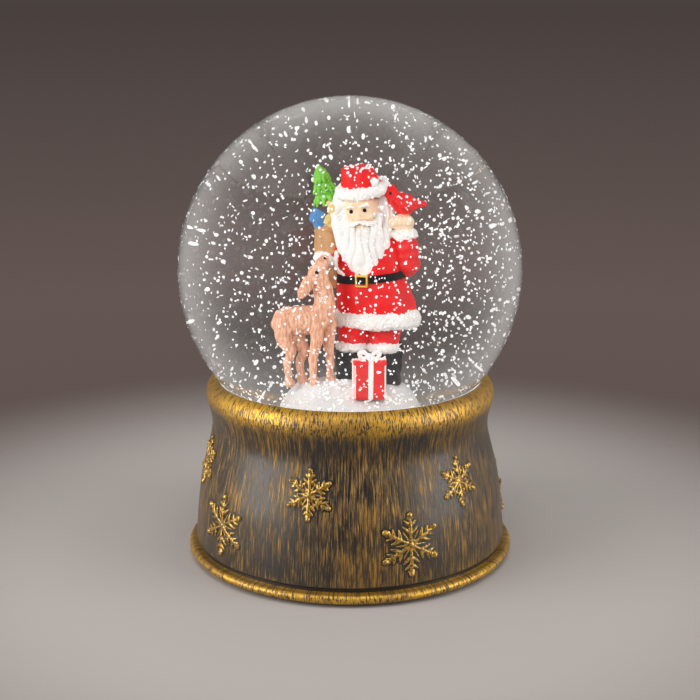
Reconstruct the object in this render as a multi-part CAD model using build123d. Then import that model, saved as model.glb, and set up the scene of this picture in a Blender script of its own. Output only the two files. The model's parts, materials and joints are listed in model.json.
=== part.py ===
from build123d import *
import math
import os

# Lit, motor-stirred snow globe. Millimetres, +Z up, front towards -Y.
# The origin is on the table under the middle of the base.

# ---- globe
GLOBE_R = 70.0
GLASS = 2.0
GLOBE_Z = 118.5
INNER_R = GLOBE_R - GLASS
NECK_R = 38.0
NECK_END_Z = 50.0
SEAT_GAP = 0.2

# ---- base shell
WALL = 2.5
BEAD_R = 68.2
BEAD_SMALL_R = 1.8
BEAD_Z = 3.0
SHELL_FOOT_Z = BEAD_Z - BEAD_SMALL_R
SHELL_INNER_R = 62.6
GROOVE_R = 64.4
GROOVE_TOP_Z = 6.2
BODY = ((65.1, 6.9), (64.0, 20.5), (61.8, 35.6), (58.4, 48.9), (57.4, 56.0), (58.3, 62.0), (59.6, 68.5))
LIP_TOP = (56.0, 74.3)
LIP_INNER_R = 54.2
SOCKET_R = 42.2
SOCKET_WALL = 2.8
SEAT_THICK = 3.0

# ---- raised snowflakes
RELIEF = 1.1
UPPER_FLAKE_R = 9.6
UPPER_FLAKE_Z = 42.4
UPPER_FLAKE_ANGLES = (-75.0, -15.0, 45.0, 114.0, 165.0, 225.0)
LOWER_FLAKE_R = 12.2
LOWER_FLAKE_Z = 22.6
LOWER_FLAKE_ANGLES = (-52.5, 21.5, 97.0, 135.0, 195.0, 252.0)

# ---- bottom cover, battery box and door
COVER_R = 62.3
COVER_Z = 2.0
COVER_THICK = 3.0
COVER_TOP = COVER_Z + COVER_THICK
CELL_R = 7.1
CELL_LENGTH = 49.5
NUB_LENGTH = 1.0
NUB_R = 2.6
CELL_PITCH = 14.8
CELL_Z = COVER_TOP + CELL_R + 0.1
CELL_Y = (-6.8, -6.8 + CELL_PITCH, -6.8 + 2 * CELL_PITCH)
BOX_HALF_X = 29.0
BOX_Y0 = -14.2
BOX_Y1 = 30.2
BOX_WALL = 1.5
BOX_TOP = 21.5
DOOR_Y1 = 31.0
DOOR_GAP = 0.3
DOOR_THICK = 2.0
DOOR_Z = 2.2
HINGE_Y = 29.6
HINGE_Z = DOOR_Z + DOOR_THICK / 2
TRUNNION_R = 0.8
TRUNNION_GAP = 0.05
TRUNNION_LENGTH = 2.0

# ---- switch
SWITCH_Y = -32.0
SWITCH_TRAVEL = 6.0
KNOB_X = -3.0
KNOB_LENGTH = 5.0
KNOB_WIDTH = 4.0

# ---- fasteners and feet
COVER_SCREW_R = 59.0
BOSS_R = 4.0
BRACKET_SCREW_R = 48.0
SCREW_SHANK_R = 1.25
SCREW_HOLE_R = 1.3
SCREW_HEAD_R = 2.6
FOOT_CIRCLE_R = 54.0
FOOT_R = 5.0

# ---- drive
BRACKET_Z = 43.0
BRACKET_THICK = 2.3
BRACKET_TOP = BRACKET_Z + BRACKET_THICK
BRACKET_R = 53.0
MOTOR_R = 12.2
MOTOR_LENGTH = 12.3
BOARD_THICK = 1.6
BOARD_TOP = BRACKET_TOP + BOARD_THICK
BOARD_INNER_R = 19.0
BOARD_R = 40.0
LAMP_CIRCLE_R = 28.0
LAMP_R = 2.5
LAMP_STEM = 5.0
PLUG_R = 35.6
PLUG_FLANGE_R = 41.6
PLUG_TOP = 62.0
WELL_R = 18.5
WELL_FLOOR = 52.0
MEMBRANE = 1.6
PIN_R = 1.0
HOUSING_TOP = 73.0
HOUSING_R = 21.0
HOLDER_R = 14.0

# ---- figures: places are (x, y, z), level sections are (x, y, z, half width, half depth)
MOUND_R = 22.5
MOUND_PEAK = 86.0
FIGURE_SPACE_R = 27.5
FIGURE_SPACE_TOP = 154.0
HEAD_AT = (3.3, -1.0, 137.0)
HEAD_SIZE = (5.8, 5.6, 6.6)
WAIST = (6.4, 0.0, 117.0, 10.0, 8.4)
COAT_SKIRT = ((8.2, 0.0, 101.5, 12.3, 9.0), (7.6, 0.0, 110.0, 11.8, 9.0), WAIST)
COAT_CHEST = (WAIST, (6.6, 0.0, 124.0, 10.4, 8.0), (5.6, 0.0, 131.0, 7.6, 6.6))
HEM = ((8.2, 0.0, 101.0, 12.6, 9.4), (8.2, 0.0, 104.0, 13.3, 10.2), (8.2, 0.0, 107.0, 12.6, 9.6))
LEFT_LEG = ((1.2, 0.0, 92.0, 4.9, 5.0), (1.6, 0.0, 101.5, 5.2, 6.0))
RIGHT_LEG = ((10.6, -1.0, 92.0, 4.7, 5.0), (10.4, -1.0, 101.5, 5.2, 6.0))
LEFT_CUFF = ((1.2, 0.0, 91.9, 5.3, 5.6), (1.2, 0.0, 94.6, 5.3, 5.6))
RIGHT_CUFF = ((10.8, -1.0, 91.9, 4.9, 5.6), (10.8, -1.0, 94.6, 4.9, 5.6))
BOOT_TOP = 91.8
BOOT_EDGE = 1.6
BELT = ((6.5, 0.0, 115.4, 10.9, 9.3), (6.5, 0.0, 118.2, 10.7, 9.1))
HAT = ((3.8, 0.0, 142.5, 7.4, 7.0), (3.0, 0.0, 147.0, 6.4, 6.0), (2.2, 0.0, 151.2, 4.6, 4.4))
BRIM = ((3.8, -0.3, 139.8, 7.6, 7.6), (3.8, -0.3, 142.2, 8.6, 8.6), (3.8, -0.3, 144.6, 7.8, 7.8))
HAT_BALL_AT = (8.4, -5.6, 145.4)
HAT_BALL_R = 1.9
BEARD = (
    (3.3, -6.6, 118.4, 1.6, 1.4),
    (3.6, -5.4, 123.0, 5.4, 3.6),
    (3.9, -3.0, 130.0, 8.4, 6.2),
    (3.9, -1.0, 136.0, 8.6, 6.6),
    (3.9, 0.4, 141.0, 7.6, 6.4),
)
RAISED_SLEEVE = (
    (17.0, -1.5, 117.5, 2.6, 3.0),
    (17.4, -1.8, 121.0, 4.0, 4.4),
    (17.2, -2.4, 128.4, 4.0, 4.2),
)
RAISED_CUFF = ((16.9, -2.8, 127.9, 4.2, 4.2), (16.7, -3.0, 132.0, 4.2, 4.2))
HAND_AT = (16.2, -3.0, 134.2)
HAND_SIZE = (3.8, 3.2, 3.3)
MITTEN_AT = (-7.6, -1.4, 122.2)
MITTEN_SIZE = (3.6, 3.2, 2.6)
SACK = ((-5.6, 3.2, 114.0, 2.6, 3.6), (-6.4, 3.2, 122.0, 4.4, 4.8), (-7.0, 3.2, 132.0, 4.2, 4.2))
TREE_X = -8.0
TREE_Y = 4.2
TREE_TIERS = ((138.6, 4.3, 2.0), (142.4, 3.5, 1.4), (146.2, 2.6, 0.4))
TIER_HEIGHT = 4.2
BEAR_AT = (-5.0, 0.8, 134.6)
BEAR_SIZE = (2.6, 2.2, 3.2)
BEAR_HEAD_AT = (-4.9, 0.6, 138.0)
BEAR_HEAD_R = 2.0
PARCEL_AT = (-10.8, 1.4, 134.8)
PARCEL_SIZE = (4.6, 3.8, 5.8)
BIRD_AT = (18.0, -2.6, 139.9)
BIRD_SIZE = (5.0, 3.0, 3.4)
BIRD_HEAD_AT = (13.9, -2.6, 143.2)
BIRD_HEAD_R = 2.2
BIRD_BEAK_AT = (12.0, -2.6, 142.8)
BIRD_TAIL_AT = (20.8, -2.6, 139.9)
DEER_AT = (-14.6, -7.0, 104.6)
DEER_SIZE = (8.4, 4.4, 5.0)
DEER_NECK = (
    (-8.6, -7.6, 103.0, 3.4, 3.0),
    (-9.4, -7.6, 111.0, 2.4, 2.3),
    (-10.4, -7.6, 117.0, 2.2, 2.1),
)
DEER_HEAD_AT = (-10.2, -7.6, 119.0)
DEER_HEAD_SIZE = (2.4, 2.2, 5.0)
DEER_LEGS = ((-19.6, -5.2, 1.9), (-15.6, -3.6, 1.7), (-11.4, -9.4, 1.8), (-6.9, -6.8, 1.8))
DEER_LEG_Z = 93.0
DEER_LEG_LENGTH = 20.0
GIFT_X = (0.7, 11.3)
GIFT_Y = (-20.0, -12.0)
GIFT_Z = (79.4, 92.0)
RIBBON_WIDTH = 2.0
RIBBON_THICK = 0.5


def disc(radius, z0, z1, x=0.0, y=0.0):
    """Upright cylinder between two heights."""
    return Pos(x, y, (z0 + z1) / 2) * Cylinder(radius, z1 - z0)


def ring(inner, outer, z0, z1, x=0.0, y=0.0):
    """Upright tube between two heights."""
    return disc(outer, z0, z1, x, y) - disc(inner, z0 - 1, z1 + 1, x, y)


def block(x0, x1, y0, y1, z0, z1):
    """Box between two corners."""
    return Pos((x0 + x1) / 2, (y0 + y1) / 2, (z0 + z1) / 2) * Box(x1 - x0, y1 - y0, z1 - z0)


def around(count, radius, start=0.0):
    """Points evenly spaced on a circle about the Z axis."""
    angles = [math.radians(start + 360 * i / count) for i in range(count)]
    return [(radius * math.cos(a), radius * math.sin(a)) for a in angles]


def turned(edges):
    """Solid of revolution about Z from a closed outline of (radius, height) edges."""
    return revolve(Plane.XZ * make_face(edges), Axis.Z)


def sphere_z(radius, at):
    """Height of the lower half of a sphere about the globe's centre, at a distance from the axis."""
    return GLOBE_Z - math.sqrt(radius**2 - at**2)


def ellipsoid(at, size, turn=(0, 0, 0)):
    """Ellipsoid about a point, from its three half lengths and its turn in degrees."""
    return Pos(*at) * Rot(*turn) * scale(Sphere(1), by=size)


def stack(*sections):
    """Smooth solid through level ellipses, each (x, y, z, rx, ry)."""
    return loft([Pos(x, y, z) * Ellipse(rx, ry) for x, y, z, rx, ry in sections])


def fitted(piece, *inner):
    """The piece with its neighbours' shapes taken out, without crumbs under 1 cubic millimetre."""
    for other in inner:
        piece = piece - other
    return Compound(children=[s for s in piece.solids() if s.volume > 1.0])


# ------------------------------------------------------------------ globe


def glass_globe():
    outer_z = sphere_z(GLOBE_R, NECK_R)
    inner_neck = NECK_R - GLASS
    inner_z = sphere_z(INNER_R, inner_neck)
    outline = [
        ThreePointArc((0, GLOBE_Z + GLOBE_R), (GLOBE_R, GLOBE_Z), (NECK_R, outer_z)),
        Line((NECK_R, outer_z), (NECK_R, NECK_END_Z)),
        Line((NECK_R, NECK_END_Z), (inner_neck, NECK_END_Z)),
        Line((inner_neck, NECK_END_Z), (inner_neck, inner_z)),
        ThreePointArc((inner_neck, inner_z), (INNER_R, GLOBE_Z), (0, GLOBE_Z + INNER_R)),
        Line((0, GLOBE_Z + INNER_R), (0, GLOBE_Z + GLOBE_R)),
    ]
    return turned(outline)


def liquid_fill():
    """Liquid from the plug's top to the top of the ball, with a plain clear space round the figures."""
    ball = Pos(0, 0, GLOBE_Z) * Sphere(INNER_R)
    ball = ball - block(-80, 80, -80, 80, 0, PLUG_TOP)
    return ball - disc(FIGURE_SPACE_R, PLUG_TOP - 1, FIGURE_SPACE_TOP)


def globe_plug():
    """Clear stopper: flange under the glass neck, well for the impeller, thin wall to the drive magnets."""
    body = disc(PLUG_FLANGE_R, BOARD_TOP, NECK_END_Z) + disc(PLUG_R, NECK_END_Z, PLUG_TOP)
    body = body - ring(PLUG_R - 1.7, PLUG_R + 1, 54.0, 57.0)
    body = body - disc(WELL_R, WELL_FLOOR, PLUG_TOP + 1)
    body = body - ring(21.0, 33.0, BOARD_TOP - 1, PLUG_TOP - 4)
    body = body - disc(HOLDER_R + 1.5, BOARD_TOP - 1, WELL_FLOOR - MEMBRANE)
    body = body + disc(2.6, WELL_FLOOR - 0.2, WELL_FLOOR + 1.6)
    return body - disc(PIN_R, WELL_FLOOR - 0.6, PLUG_TOP)


def plug_seal():
    return ring(PLUG_R - 1.7, NECK_R - GLASS, 54.0, 57.0)


def impeller_pin():
    return disc(PIN_R, WELL_FLOOR - 0.6, HOUSING_TOP - 3.5)


def impeller():
    """Six straight vanes on a hub, over the magnet's cup."""
    hub = disc(3.6, WELL_FLOOR + 2.0, 66.5)
    cup = disc(13.0, WELL_FLOOR + 2.0, WELL_FLOOR + 6.0)
    wheel = hub + cup
    for i in range(6):
        wheel = wheel + Rot(0, 0, 60 * i) * block(2.0, 15.5, -0.7, 0.7, WELL_FLOOR + 5.5, 65.5)
    wheel = wheel - ring(5.0, 11.0, WELL_FLOOR + 1.0, WELL_FLOOR + 5.0)
    return wheel - disc(PIN_R + 0.06, WELL_FLOOR, 70)


def impeller_magnet():
    return ring(5.0, 11.0, WELL_FLOOR + 2.0, WELL_FLOOR + 5.0)


def flow_housing():
    """Slotted drum that stands on the plug, lets the liquid through and carries the snow mound."""
    drum = ring(HOUSING_R - 1.8, HOUSING_R, PLUG_TOP, HOUSING_TOP - 3.0)
    drum = drum + disc(HOUSING_R, HOUSING_TOP - 3.0, HOUSING_TOP)
    for i in range(8):
        slot = block(HOUSING_R - 4, HOUSING_R + 1, -4.0, 4.0, PLUG_TOP + 2.0, HOUSING_TOP - 4.0)
        drum = drum - Rot(0, 0, 45 * i + 22.5) * slot
    drum = drum + disc(2.8, 67.0, HOUSING_TOP - 2.5)
    return drum - disc(PIN_R, 66, HOUSING_TOP - 3.5)


# ------------------------------------------------------------------ figures


def snow_mound():
    outline = [
        Line((0, HOUSING_TOP), (0, MOUND_PEAK)),
        Spline((0, MOUND_PEAK), (8, 85.6), (14, 83.9), (18, 80.4), (20.6, 76.4), (MOUND_R, HOUSING_TOP)),
        Line((MOUND_R, HOUSING_TOP), (0, HOUSING_TOP)),
    ]
    return turned(outline)


def santa_coat(head):
    return fitted(stack(*COAT_SKIRT) + stack(*COAT_CHEST), head)


def santa_trousers():
    return fitted(stack(*LEFT_LEG)), fitted(stack(*RIGHT_LEG))


def santa_boots():
    left = fillet(block(-4.4, 1.2, -6.5, 3.5, 84.6, BOOT_TOP).edges(), BOOT_EDGE)
    right = fillet(block(9.6, 15.2, -8.5, 1.5, 83.4, BOOT_TOP).edges(), BOOT_EDGE)
    return left, right


def fur_trims(coat, legs, boots):
    """Coat hem and the two trouser cuffs."""
    left = stack(*LEFT_CUFF)
    right = stack(*RIGHT_CUFF) - left
    trims = [fitted(stack(*HEM), coat, *legs)]
    trims += [fitted(cuff, *legs, *boots) for cuff in (left, right)]
    return trims


def santa_belt(coat):
    return fitted(stack(*BELT), coat)


def belt_buckle(coat, belt):
    frame = block(1.3, 5.1, -10.4, -8.2, 114.9, 118.5) - block(2.1, 4.3, -11, -9.4, 115.7, 117.7)
    return fitted(frame, coat, belt)


def santa_head():
    return ellipsoid(HEAD_AT, HEAD_SIZE)


def santa_hat(head):
    return fitted(stack(*HAT), head)


def hat_brim(head, hat):
    """Fur band of the hat with its small ball."""
    band = stack(*BRIM) + Pos(*HAT_BALL_AT) * Sphere(HAT_BALL_R)
    return fitted(band, head, hat)


def santa_beard(*inner):
    """Hair at the sides and the long beard down to the belt."""
    face_window = block(-0.6, 7.2, -9.0, -3.0, 134.2, 142.0)
    return fitted(stack(*BEARD) - face_window, *inner)


def raised_arm(*inner):
    return fitted(stack(*RAISED_SLEEVE), *inner)


def arm_cuff(*inner):
    return fitted(stack(*RAISED_CUFF), *inner)


def raised_hand():
    return ellipsoid(HAND_AT, HAND_SIZE)


def lower_mitten(*inner):
    return fitted(ellipsoid(MITTEN_AT, MITTEN_SIZE), *inner)


def toy_sack(*inner):
    return fitted(stack(*SACK), *inner)


def toy_tree(*inner):
    tree = disc(0.9, 132.2, 140.2, TREE_X, TREE_Y)
    for z, low, high in TREE_TIERS:
        tree = tree + Pos(TREE_X, TREE_Y, z + TIER_HEIGHT / 2) * Cone(low, high, TIER_HEIGHT)
    return fitted(tree, *inner)


def toy_bear(*inner):
    return fitted(ellipsoid(BEAR_AT, BEAR_SIZE) + Pos(*BEAR_HEAD_AT) * Sphere(BEAR_HEAD_R), *inner)


def toy_parcel(*inner):
    parcel = fillet(Box(*PARCEL_SIZE).edges(), 0.6)
    return fitted(Pos(*PARCEL_AT) * Rot(0, -14, 20) * parcel, *inner)


def red_bird(*inner):
    body = ellipsoid(BIRD_AT, BIRD_SIZE, (0, 18, 0))
    head = Pos(*BIRD_HEAD_AT) * Sphere(BIRD_HEAD_R)
    beak = Pos(*BIRD_BEAK_AT) * Rot(0, -100, 0) * Cone(0.9, 0.15, 1.6)
    tail = stack((0, 0, 0, 1.6, 1.8), (0, 0, 4.4, 0.8, 1.7))
    tail = Pos(*BIRD_TAIL_AT) * Rot(0, 92, 0) * tail
    return fitted(body + head + beak + tail, *inner)


def deer():
    body = ellipsoid(DEER_AT, DEER_SIZE, (0, 4, 8))
    head = ellipsoid(DEER_HEAD_AT, DEER_HEAD_SIZE, (0, 28, 0))
    animal = body + stack(*DEER_NECK) + head
    for x, y, r in DEER_LEGS:
        animal = animal + Pos(x, y, DEER_LEG_Z) * Cone(r * 0.8, r * 1.25, DEER_LEG_LENGTH)
    for side in (-1, 1):
        place = (DEER_HEAD_AT[0] - 3.0, DEER_HEAD_AT[1] + side * 2.0, DEER_HEAD_AT[2] - 4.2)
        animal = animal + ellipsoid(place, (0.9, 1.3, 2.6), (side * 18, 48, 0))
    return animal


def gift_box():
    return block(*GIFT_X, *GIFT_Y, *GIFT_Z)


def gift_ribbon(gift):
    """Two bands round the box, and the bow on its lid."""
    x = sum(GIFT_X) / 2
    y = sum(GIFT_Y) / 2
    half = RIBBON_WIDTH / 2
    top = GIFT_Z[1] + RIBBON_THICK
    upright = block(x - half, x + half, GIFT_Y[0] - RIBBON_THICK, GIFT_Y[1] + RIBBON_THICK, GIFT_Z[0], top)
    across = block(GIFT_X[0] - RIBBON_THICK, GIFT_X[1] + RIBBON_THICK, y - half, y + half, GIFT_Z[0], top)
    bands = upright + across
    for side in (-1, 1):
        bands = bands + ellipsoid((x + side * 1.9, y, top + 1.0), (2.1, 1.5, 1.4))
    return fitted(bands, gift)


def snow_flakes():
    """A spread of thin round flakes hanging in the liquid, well clear of the figures."""
    flakes = []
    count = 120
    golden = math.pi * (3 - math.sqrt(5))
    for i in range(count):
        height = 1 - 1.5 * (i + 0.5) / count
        radius = 42.0 + 20.0 * ((i * 7) % 11) / 11
        level = radius * math.sqrt(1 - height**2)
        angle = golden * i
        place = Pos(level * math.cos(angle), level * math.sin(angle), GLOBE_Z + radius * height)
        tilt = Rot(37 * i % 180, 61 * i % 180, 0)
        flakes.append(place * tilt * Cylinder(0.6, 0.2))
    return flakes


# ------------------------------------------------------------------ base shell


def body_curve(offset):
    """The shell's side, from the groove to the widest line of the rim, moved sideways."""
    points = [(r + offset, z) for r, z in BODY]
    return Spline(*points, tangents=[(-0.05, 1), (0.0, 1)])


def base_shell():
    rim = BODY[-1]
    foot = BODY[0]
    lip_z = sphere_z(GLOBE_R + SEAT_GAP, LIP_INNER_R)
    socket_z = sphere_z(GLOBE_R + SEAT_GAP, SOCKET_R)
    middle_r = (LIP_INNER_R + SOCKET_R) / 2
    under = GLOBE_R + SEAT_GAP + SEAT_THICK
    collar_r = SOCKET_R + SOCKET_WALL
    under_r = 55.4
    outline = [
        Line((SHELL_INNER_R, SHELL_FOOT_Z), (BEAD_R - BEAD_SMALL_R, SHELL_FOOT_Z)),
        ThreePointArc((BEAD_R - BEAD_SMALL_R, SHELL_FOOT_Z), (BEAD_R, BEAD_Z),
                      (BEAD_R - BEAD_SMALL_R, BEAD_Z + BEAD_SMALL_R)),
        Polyline((BEAD_R - BEAD_SMALL_R, BEAD_Z + BEAD_SMALL_R), (GROOVE_R, BEAD_Z + BEAD_SMALL_R),
                 (GROOVE_R, GROOVE_TOP_Z), foot),
        body_curve(0),
        TangentArc(rim, LIP_TOP, tangent=(0, 1)),
        ThreePointArc(LIP_TOP, ((LIP_TOP[0] + LIP_INNER_R) / 2, LIP_TOP[1] + 0.1), (LIP_INNER_R, lip_z)),
        ThreePointArc((LIP_INNER_R, lip_z), (middle_r, sphere_z(GLOBE_R + SEAT_GAP, middle_r)),
                      (SOCKET_R, socket_z)),
        Polyline((SOCKET_R, socket_z), (SOCKET_R, BRACKET_TOP), (collar_r, BRACKET_TOP),
                 (collar_r, sphere_z(under, collar_r))),
        ThreePointArc((collar_r, sphere_z(under, collar_r)), (50.0, sphere_z(under, 50.0)),
                      (under_r, sphere_z(under, under_r))),
        Line((under_r, sphere_z(under, under_r)), (rim[0] - WALL, rim[1])),
        body_curve(-WALL),
        Polyline((foot[0] - WALL, foot[1]), (SHELL_INNER_R, foot[1] - 0.5), (SHELL_INNER_R, SHELL_FOOT_Z)),
    ]
    shell = turned(outline)
    for x, y in around(4, COVER_SCREW_R, 90):
        shell = shell + disc(BOSS_R, COVER_TOP + 0.1, 20.0, x, y)
        shell = shell - disc(SCREW_HOLE_R, COVER_TOP, 16.0, x, y)
    for x, y in around(4, BRACKET_SCREW_R, 45):
        shell = shell + disc(BOSS_R, BRACKET_TOP, 64.0, x, y)
        shell = shell - disc(SCREW_HOLE_R, BRACKET_TOP - 1, 56.0, x, y)
    return shell


def snowflake_outline(radius):
    """Flat six-armed snowflake: a ball and two pairs of barbs on each arm, thin rays between the arms."""
    arm = Pos(radius * 0.46, 0) * Rectangle(radius * 0.92, 1.5)
    arm += Pos(radius * 0.93, 0) * Circle(radius * 0.105)
    for start, length in ((0.40, 0.34), (0.64, 0.24)):
        for side in (-1, 1):
            barb = Pos(radius * length / 2, 0) * Rectangle(radius * length, 1.15)
            arm += Pos(radius * start, 0) * Rot(0, 0, 52 * side) * barb
    ray = Rot(0, 0, 30) * Pos(radius * 0.25, 0) * Rectangle(radius * 0.46, 0.6)
    flake = Circle(radius * 0.13)
    for i in range(6):
        flake += Rot(0, 0, 60 * i + 90) * arm
        flake += Rot(0, 0, 60 * i) * ray
    return flake


def snowflake_relief(radius, z, skin):
    """One snowflake standing off the shell's side, on the side facing -Y."""
    plane = Plane(origin=(0, -40, z), x_dir=(1, 0, 0), z_dir=(0, -1, 0))
    bar = extrude(plane * snowflake_outline(radius), 40)
    relief = bar & skin
    return max(relief.solids(), key=lambda s: s.volume)


def snowflake_reliefs():
    foot = BODY[0]
    rim = BODY[-1]
    skin = turned([
        body_curve(0),
        Line(rim, (rim[0] + RELIEF, rim[1])),
        body_curve(RELIEF),
        Line((foot[0] + RELIEF, foot[1]), foot),
    ])
    upper = snowflake_relief(UPPER_FLAKE_R, UPPER_FLAKE_Z, skin)
    lower = snowflake_relief(LOWER_FLAKE_R, LOWER_FLAKE_Z, skin)
    reliefs = [Rot(0, 0, angle) * upper for angle in UPPER_FLAKE_ANGLES]
    reliefs += [Rot(0, 0, angle) * lower for angle in LOWER_FLAKE_ANGLES]
    return reliefs


# ------------------------------------------------------------------ bottom cover, battery and switch


def bottom_cover():
    """Round cover with the battery box, the hinge sockets, the switch slot and the screw holes."""
    cover = disc(COVER_R, COVER_Z, COVER_TOP)
    box_half = BOX_HALF_X + BOX_WALL
    cover = cover + block(-box_half, box_half, BOX_Y0 - BOX_WALL, BOX_Y1 + BOX_WALL, COVER_TOP, BOX_TOP)
    cover = cover - block(-BOX_HALF_X, BOX_HALF_X, BOX_Y0, BOX_Y1, COVER_Z - 1, BOX_TOP - BOX_WALL)
    cover = cover - block(-BOX_HALF_X, BOX_HALF_X, BOX_Y1 - 1, DOOR_Y1, COVER_Z - 1, COVER_TOP)
    cover = cover - block(-5.4, 5.4, BOX_Y0 - 2.2, BOX_Y0 + 1, COVER_Z - 1, COVER_TOP - 0.8)
    reach = BOX_HALF_X + TRUNNION_LENGTH
    hole = Pos(0, HINGE_Y, HINGE_Z) * Rot(0, 90, 0) * Cylinder(TRUNNION_R + TRUNNION_GAP, 2 * reach)
    cover = cover - hole
    slot_x0 = KNOB_X - KNOB_LENGTH / 2 - 0.4
    slot_x1 = slot_x0 + KNOB_LENGTH + SWITCH_TRAVEL + 0.8
    cover = cover - block(slot_x0, slot_x1, SWITCH_Y - 2.3, SWITCH_Y + 2.3, COVER_Z - 1, COVER_TOP + 1)
    for x, y in around(4, COVER_SCREW_R, 90):
        cover = cover - disc(1.6, COVER_Z - 1, COVER_TOP + 1, x, y)
        cover = cover - disc(SCREW_HEAD_R + 0.2, COVER_Z - 1, COVER_Z + 1.7, x, y)
    return cover


def battery_door():
    """Door plate with a rounded hinge edge, two trunnions, a finger tab and two stiffening ribs."""
    half = BOX_HALF_X - DOOR_GAP
    top = DOOR_Z + DOOR_THICK
    door = block(-half, half, BOX_Y0 + DOOR_GAP, HINGE_Y, DOOR_Z, top)
    door = door + Pos(0, HINGE_Y, HINGE_Z) * Rot(0, 90, 0) * Cylinder(DOOR_THICK / 2, 2 * half)
    reach = BOX_HALF_X + TRUNNION_LENGTH - 0.3
    door = door + Pos(0, HINGE_Y, HINGE_Z) * Rot(0, 90, 0) * Cylinder(TRUNNION_R, 2 * reach)
    door = door + block(-5.0, 5.0, BOX_Y0 - 1.7, BOX_Y0 + 1, DOOR_Z, DOOR_Z + 1.2)
    for x in (-20.0, 20.0):
        door = door + block(x - 0.6, x + 0.6, BOX_Y0 + 3, HINGE_Y - 5, top, top + 0.5)
    for i in range(5):
        y = BOX_Y0 + 3 + 1.6 * i
        door = door - block(-7.0, 7.0, y, y + 0.8, DOOR_Z - 1, DOOR_Z + 0.4)
    return door


def cell(index):
    """One AA cell along X, with its neighbours the other way round."""
    way = 1 if index % 2 == 0 else -1
    nub_tip = BOX_HALF_X - 0.7
    middle = nub_tip - NUB_LENGTH - CELL_LENGTH / 2
    can = Cylinder(CELL_R, CELL_LENGTH)
    can = fillet(can.edges(), 0.5)
    nub = Pos(0, 0, (CELL_LENGTH + NUB_LENGTH) / 2) * Cylinder(NUB_R, NUB_LENGTH)
    lying = Rot(0, 90 * way, 0) * (can + nub)
    return Pos(way * middle, CELL_Y[index], CELL_Z) * lying


def battery_springs():
    """Three contact springs at the cells' flat ends."""
    springs = []
    flat_end = BOX_HALF_X - 0.7 - NUB_LENGTH - CELL_LENGTH
    length = BOX_HALF_X - 0.6 + flat_end
    wire = 0.4
    for index, y in enumerate(CELL_Y):
        way = 1 if index % 2 == 0 else -1
        path = Helix(pitch=1.9, height=length - 2 * wire - 0.2, radius=3.4)
        section = Plane(origin=path @ 0, z_dir=path % 0) * Circle(wire)
        coil = sweep(section, path=path, is_frenet=True)
        start = -way * (BOX_HALF_X - 0.6 - wire - 0.1)
        springs.append(Pos(start, y, CELL_Z) * Rot(0, 90 * way, 0) * coil)
    return springs


def contact_plates():
    """Six contact plates on the end walls of the battery box, one at each end of each cell."""
    plates = []
    for y in CELL_Y:
        for side in (-1, 1):
            x0, x1 = sorted((side * (BOX_HALF_X - 0.6), side * (BOX_HALF_X - 0.1)))
            plates.append(block(x0, x1, y - 5.0, y + 5.0, 7.0, 18.0))
    return plates


def switch_body():
    """Housing of the slide switch with the channel its carriage runs in."""
    body = block(-12.0, 12.0, SWITCH_Y - 4.0, SWITCH_Y + 4.0, COVER_TOP, 11.0)
    channel = block(-7.6, 7.6, SWITCH_Y - 2.6, SWITCH_Y + 2.6, COVER_TOP - 1, 7.6)
    body = body - channel
    for x in (-4.0, 0.0, 4.0):
        body = body + block(x - 0.4, x + 0.4, SWITCH_Y - 0.8, SWITCH_Y + 0.8, 10.5, 14.0)
    return body


def switch_knob():
    """Ribbed thumb knob, its stem through the slot and its carriage in the switch's channel."""
    x0 = KNOB_X - KNOB_LENGTH / 2
    x1 = KNOB_X + KNOB_LENGTH / 2
    half = KNOB_WIDTH / 2
    knob = block(x0, x1, SWITCH_Y - half, SWITCH_Y + half, 1.2, COVER_TOP + 0.5)
    knob = knob + block(x0 - 1.0, x1 + 1.0, SWITCH_Y - 2.4, SWITCH_Y + 2.4, COVER_TOP + 0.15, 7.2)
    for i in range(3):
        x = x0 + 1.1 + 1.4 * i
        knob = knob - block(x - 0.3, x + 0.3, SWITCH_Y - 3, SWITCH_Y + 3, 1.0, 1.7)
    return knob


def rubber_feet():
    feet = []
    for x, y in around(4, FOOT_CIRCLE_R, 45):
        foot = disc(FOOT_R, 0, COVER_Z, x, y)
        feet.append(chamfer(foot.edges().sort_by(Axis.Z)[0], 0.5))
    return feet


def screw(x, y, head_z0, head_z1, tip_z):
    """Cross-head screw pointing up, head below."""
    body = disc(SCREW_HEAD_R, head_z0, head_z1, x, y) + disc(SCREW_SHANK_R, head_z1 - 0.1, tip_z, x, y)
    for angle in (0, 90):
        cross = Pos(x, y, head_z0) * Rot(0, 0, angle) * Box(2.6, 0.6, 1.2)
        body = body - cross
    return body


def cover_screws():
    seat = COVER_Z + 1.7
    return [screw(x, y, seat - 1.5, seat, 15.0) for x, y in around(4, COVER_SCREW_R, 90)]


def bracket_screws():
    places = around(4, BRACKET_SCREW_R, 45)
    return [screw(x, y, BRACKET_Z - 1.5, BRACKET_Z, 55.0) for x, y in places]


# ------------------------------------------------------------------ drive and lamps


def motor_bracket():
    """Plate that carries the motor and the lamp board, and holds the globe plug up in its socket."""
    plate = disc(BRACKET_R, BRACKET_Z, BRACKET_TOP) - disc(4.0, BRACKET_Z - 1, BRACKET_TOP + 1)
    for x, y in around(4, BRACKET_SCREW_R, 45):
        plate = plate - disc(1.6, BRACKET_Z - 1, BRACKET_TOP + 1, x, y)
    plate = plate - block(-7, 7, -34, -28, BRACKET_Z - 1, BRACKET_TOP + 1)
    for y in (-8.5, 8.5):
        plate = plate - disc(1.1, BRACKET_Z - 1, BRACKET_TOP + 1, 0, y)
    return plate


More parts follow.
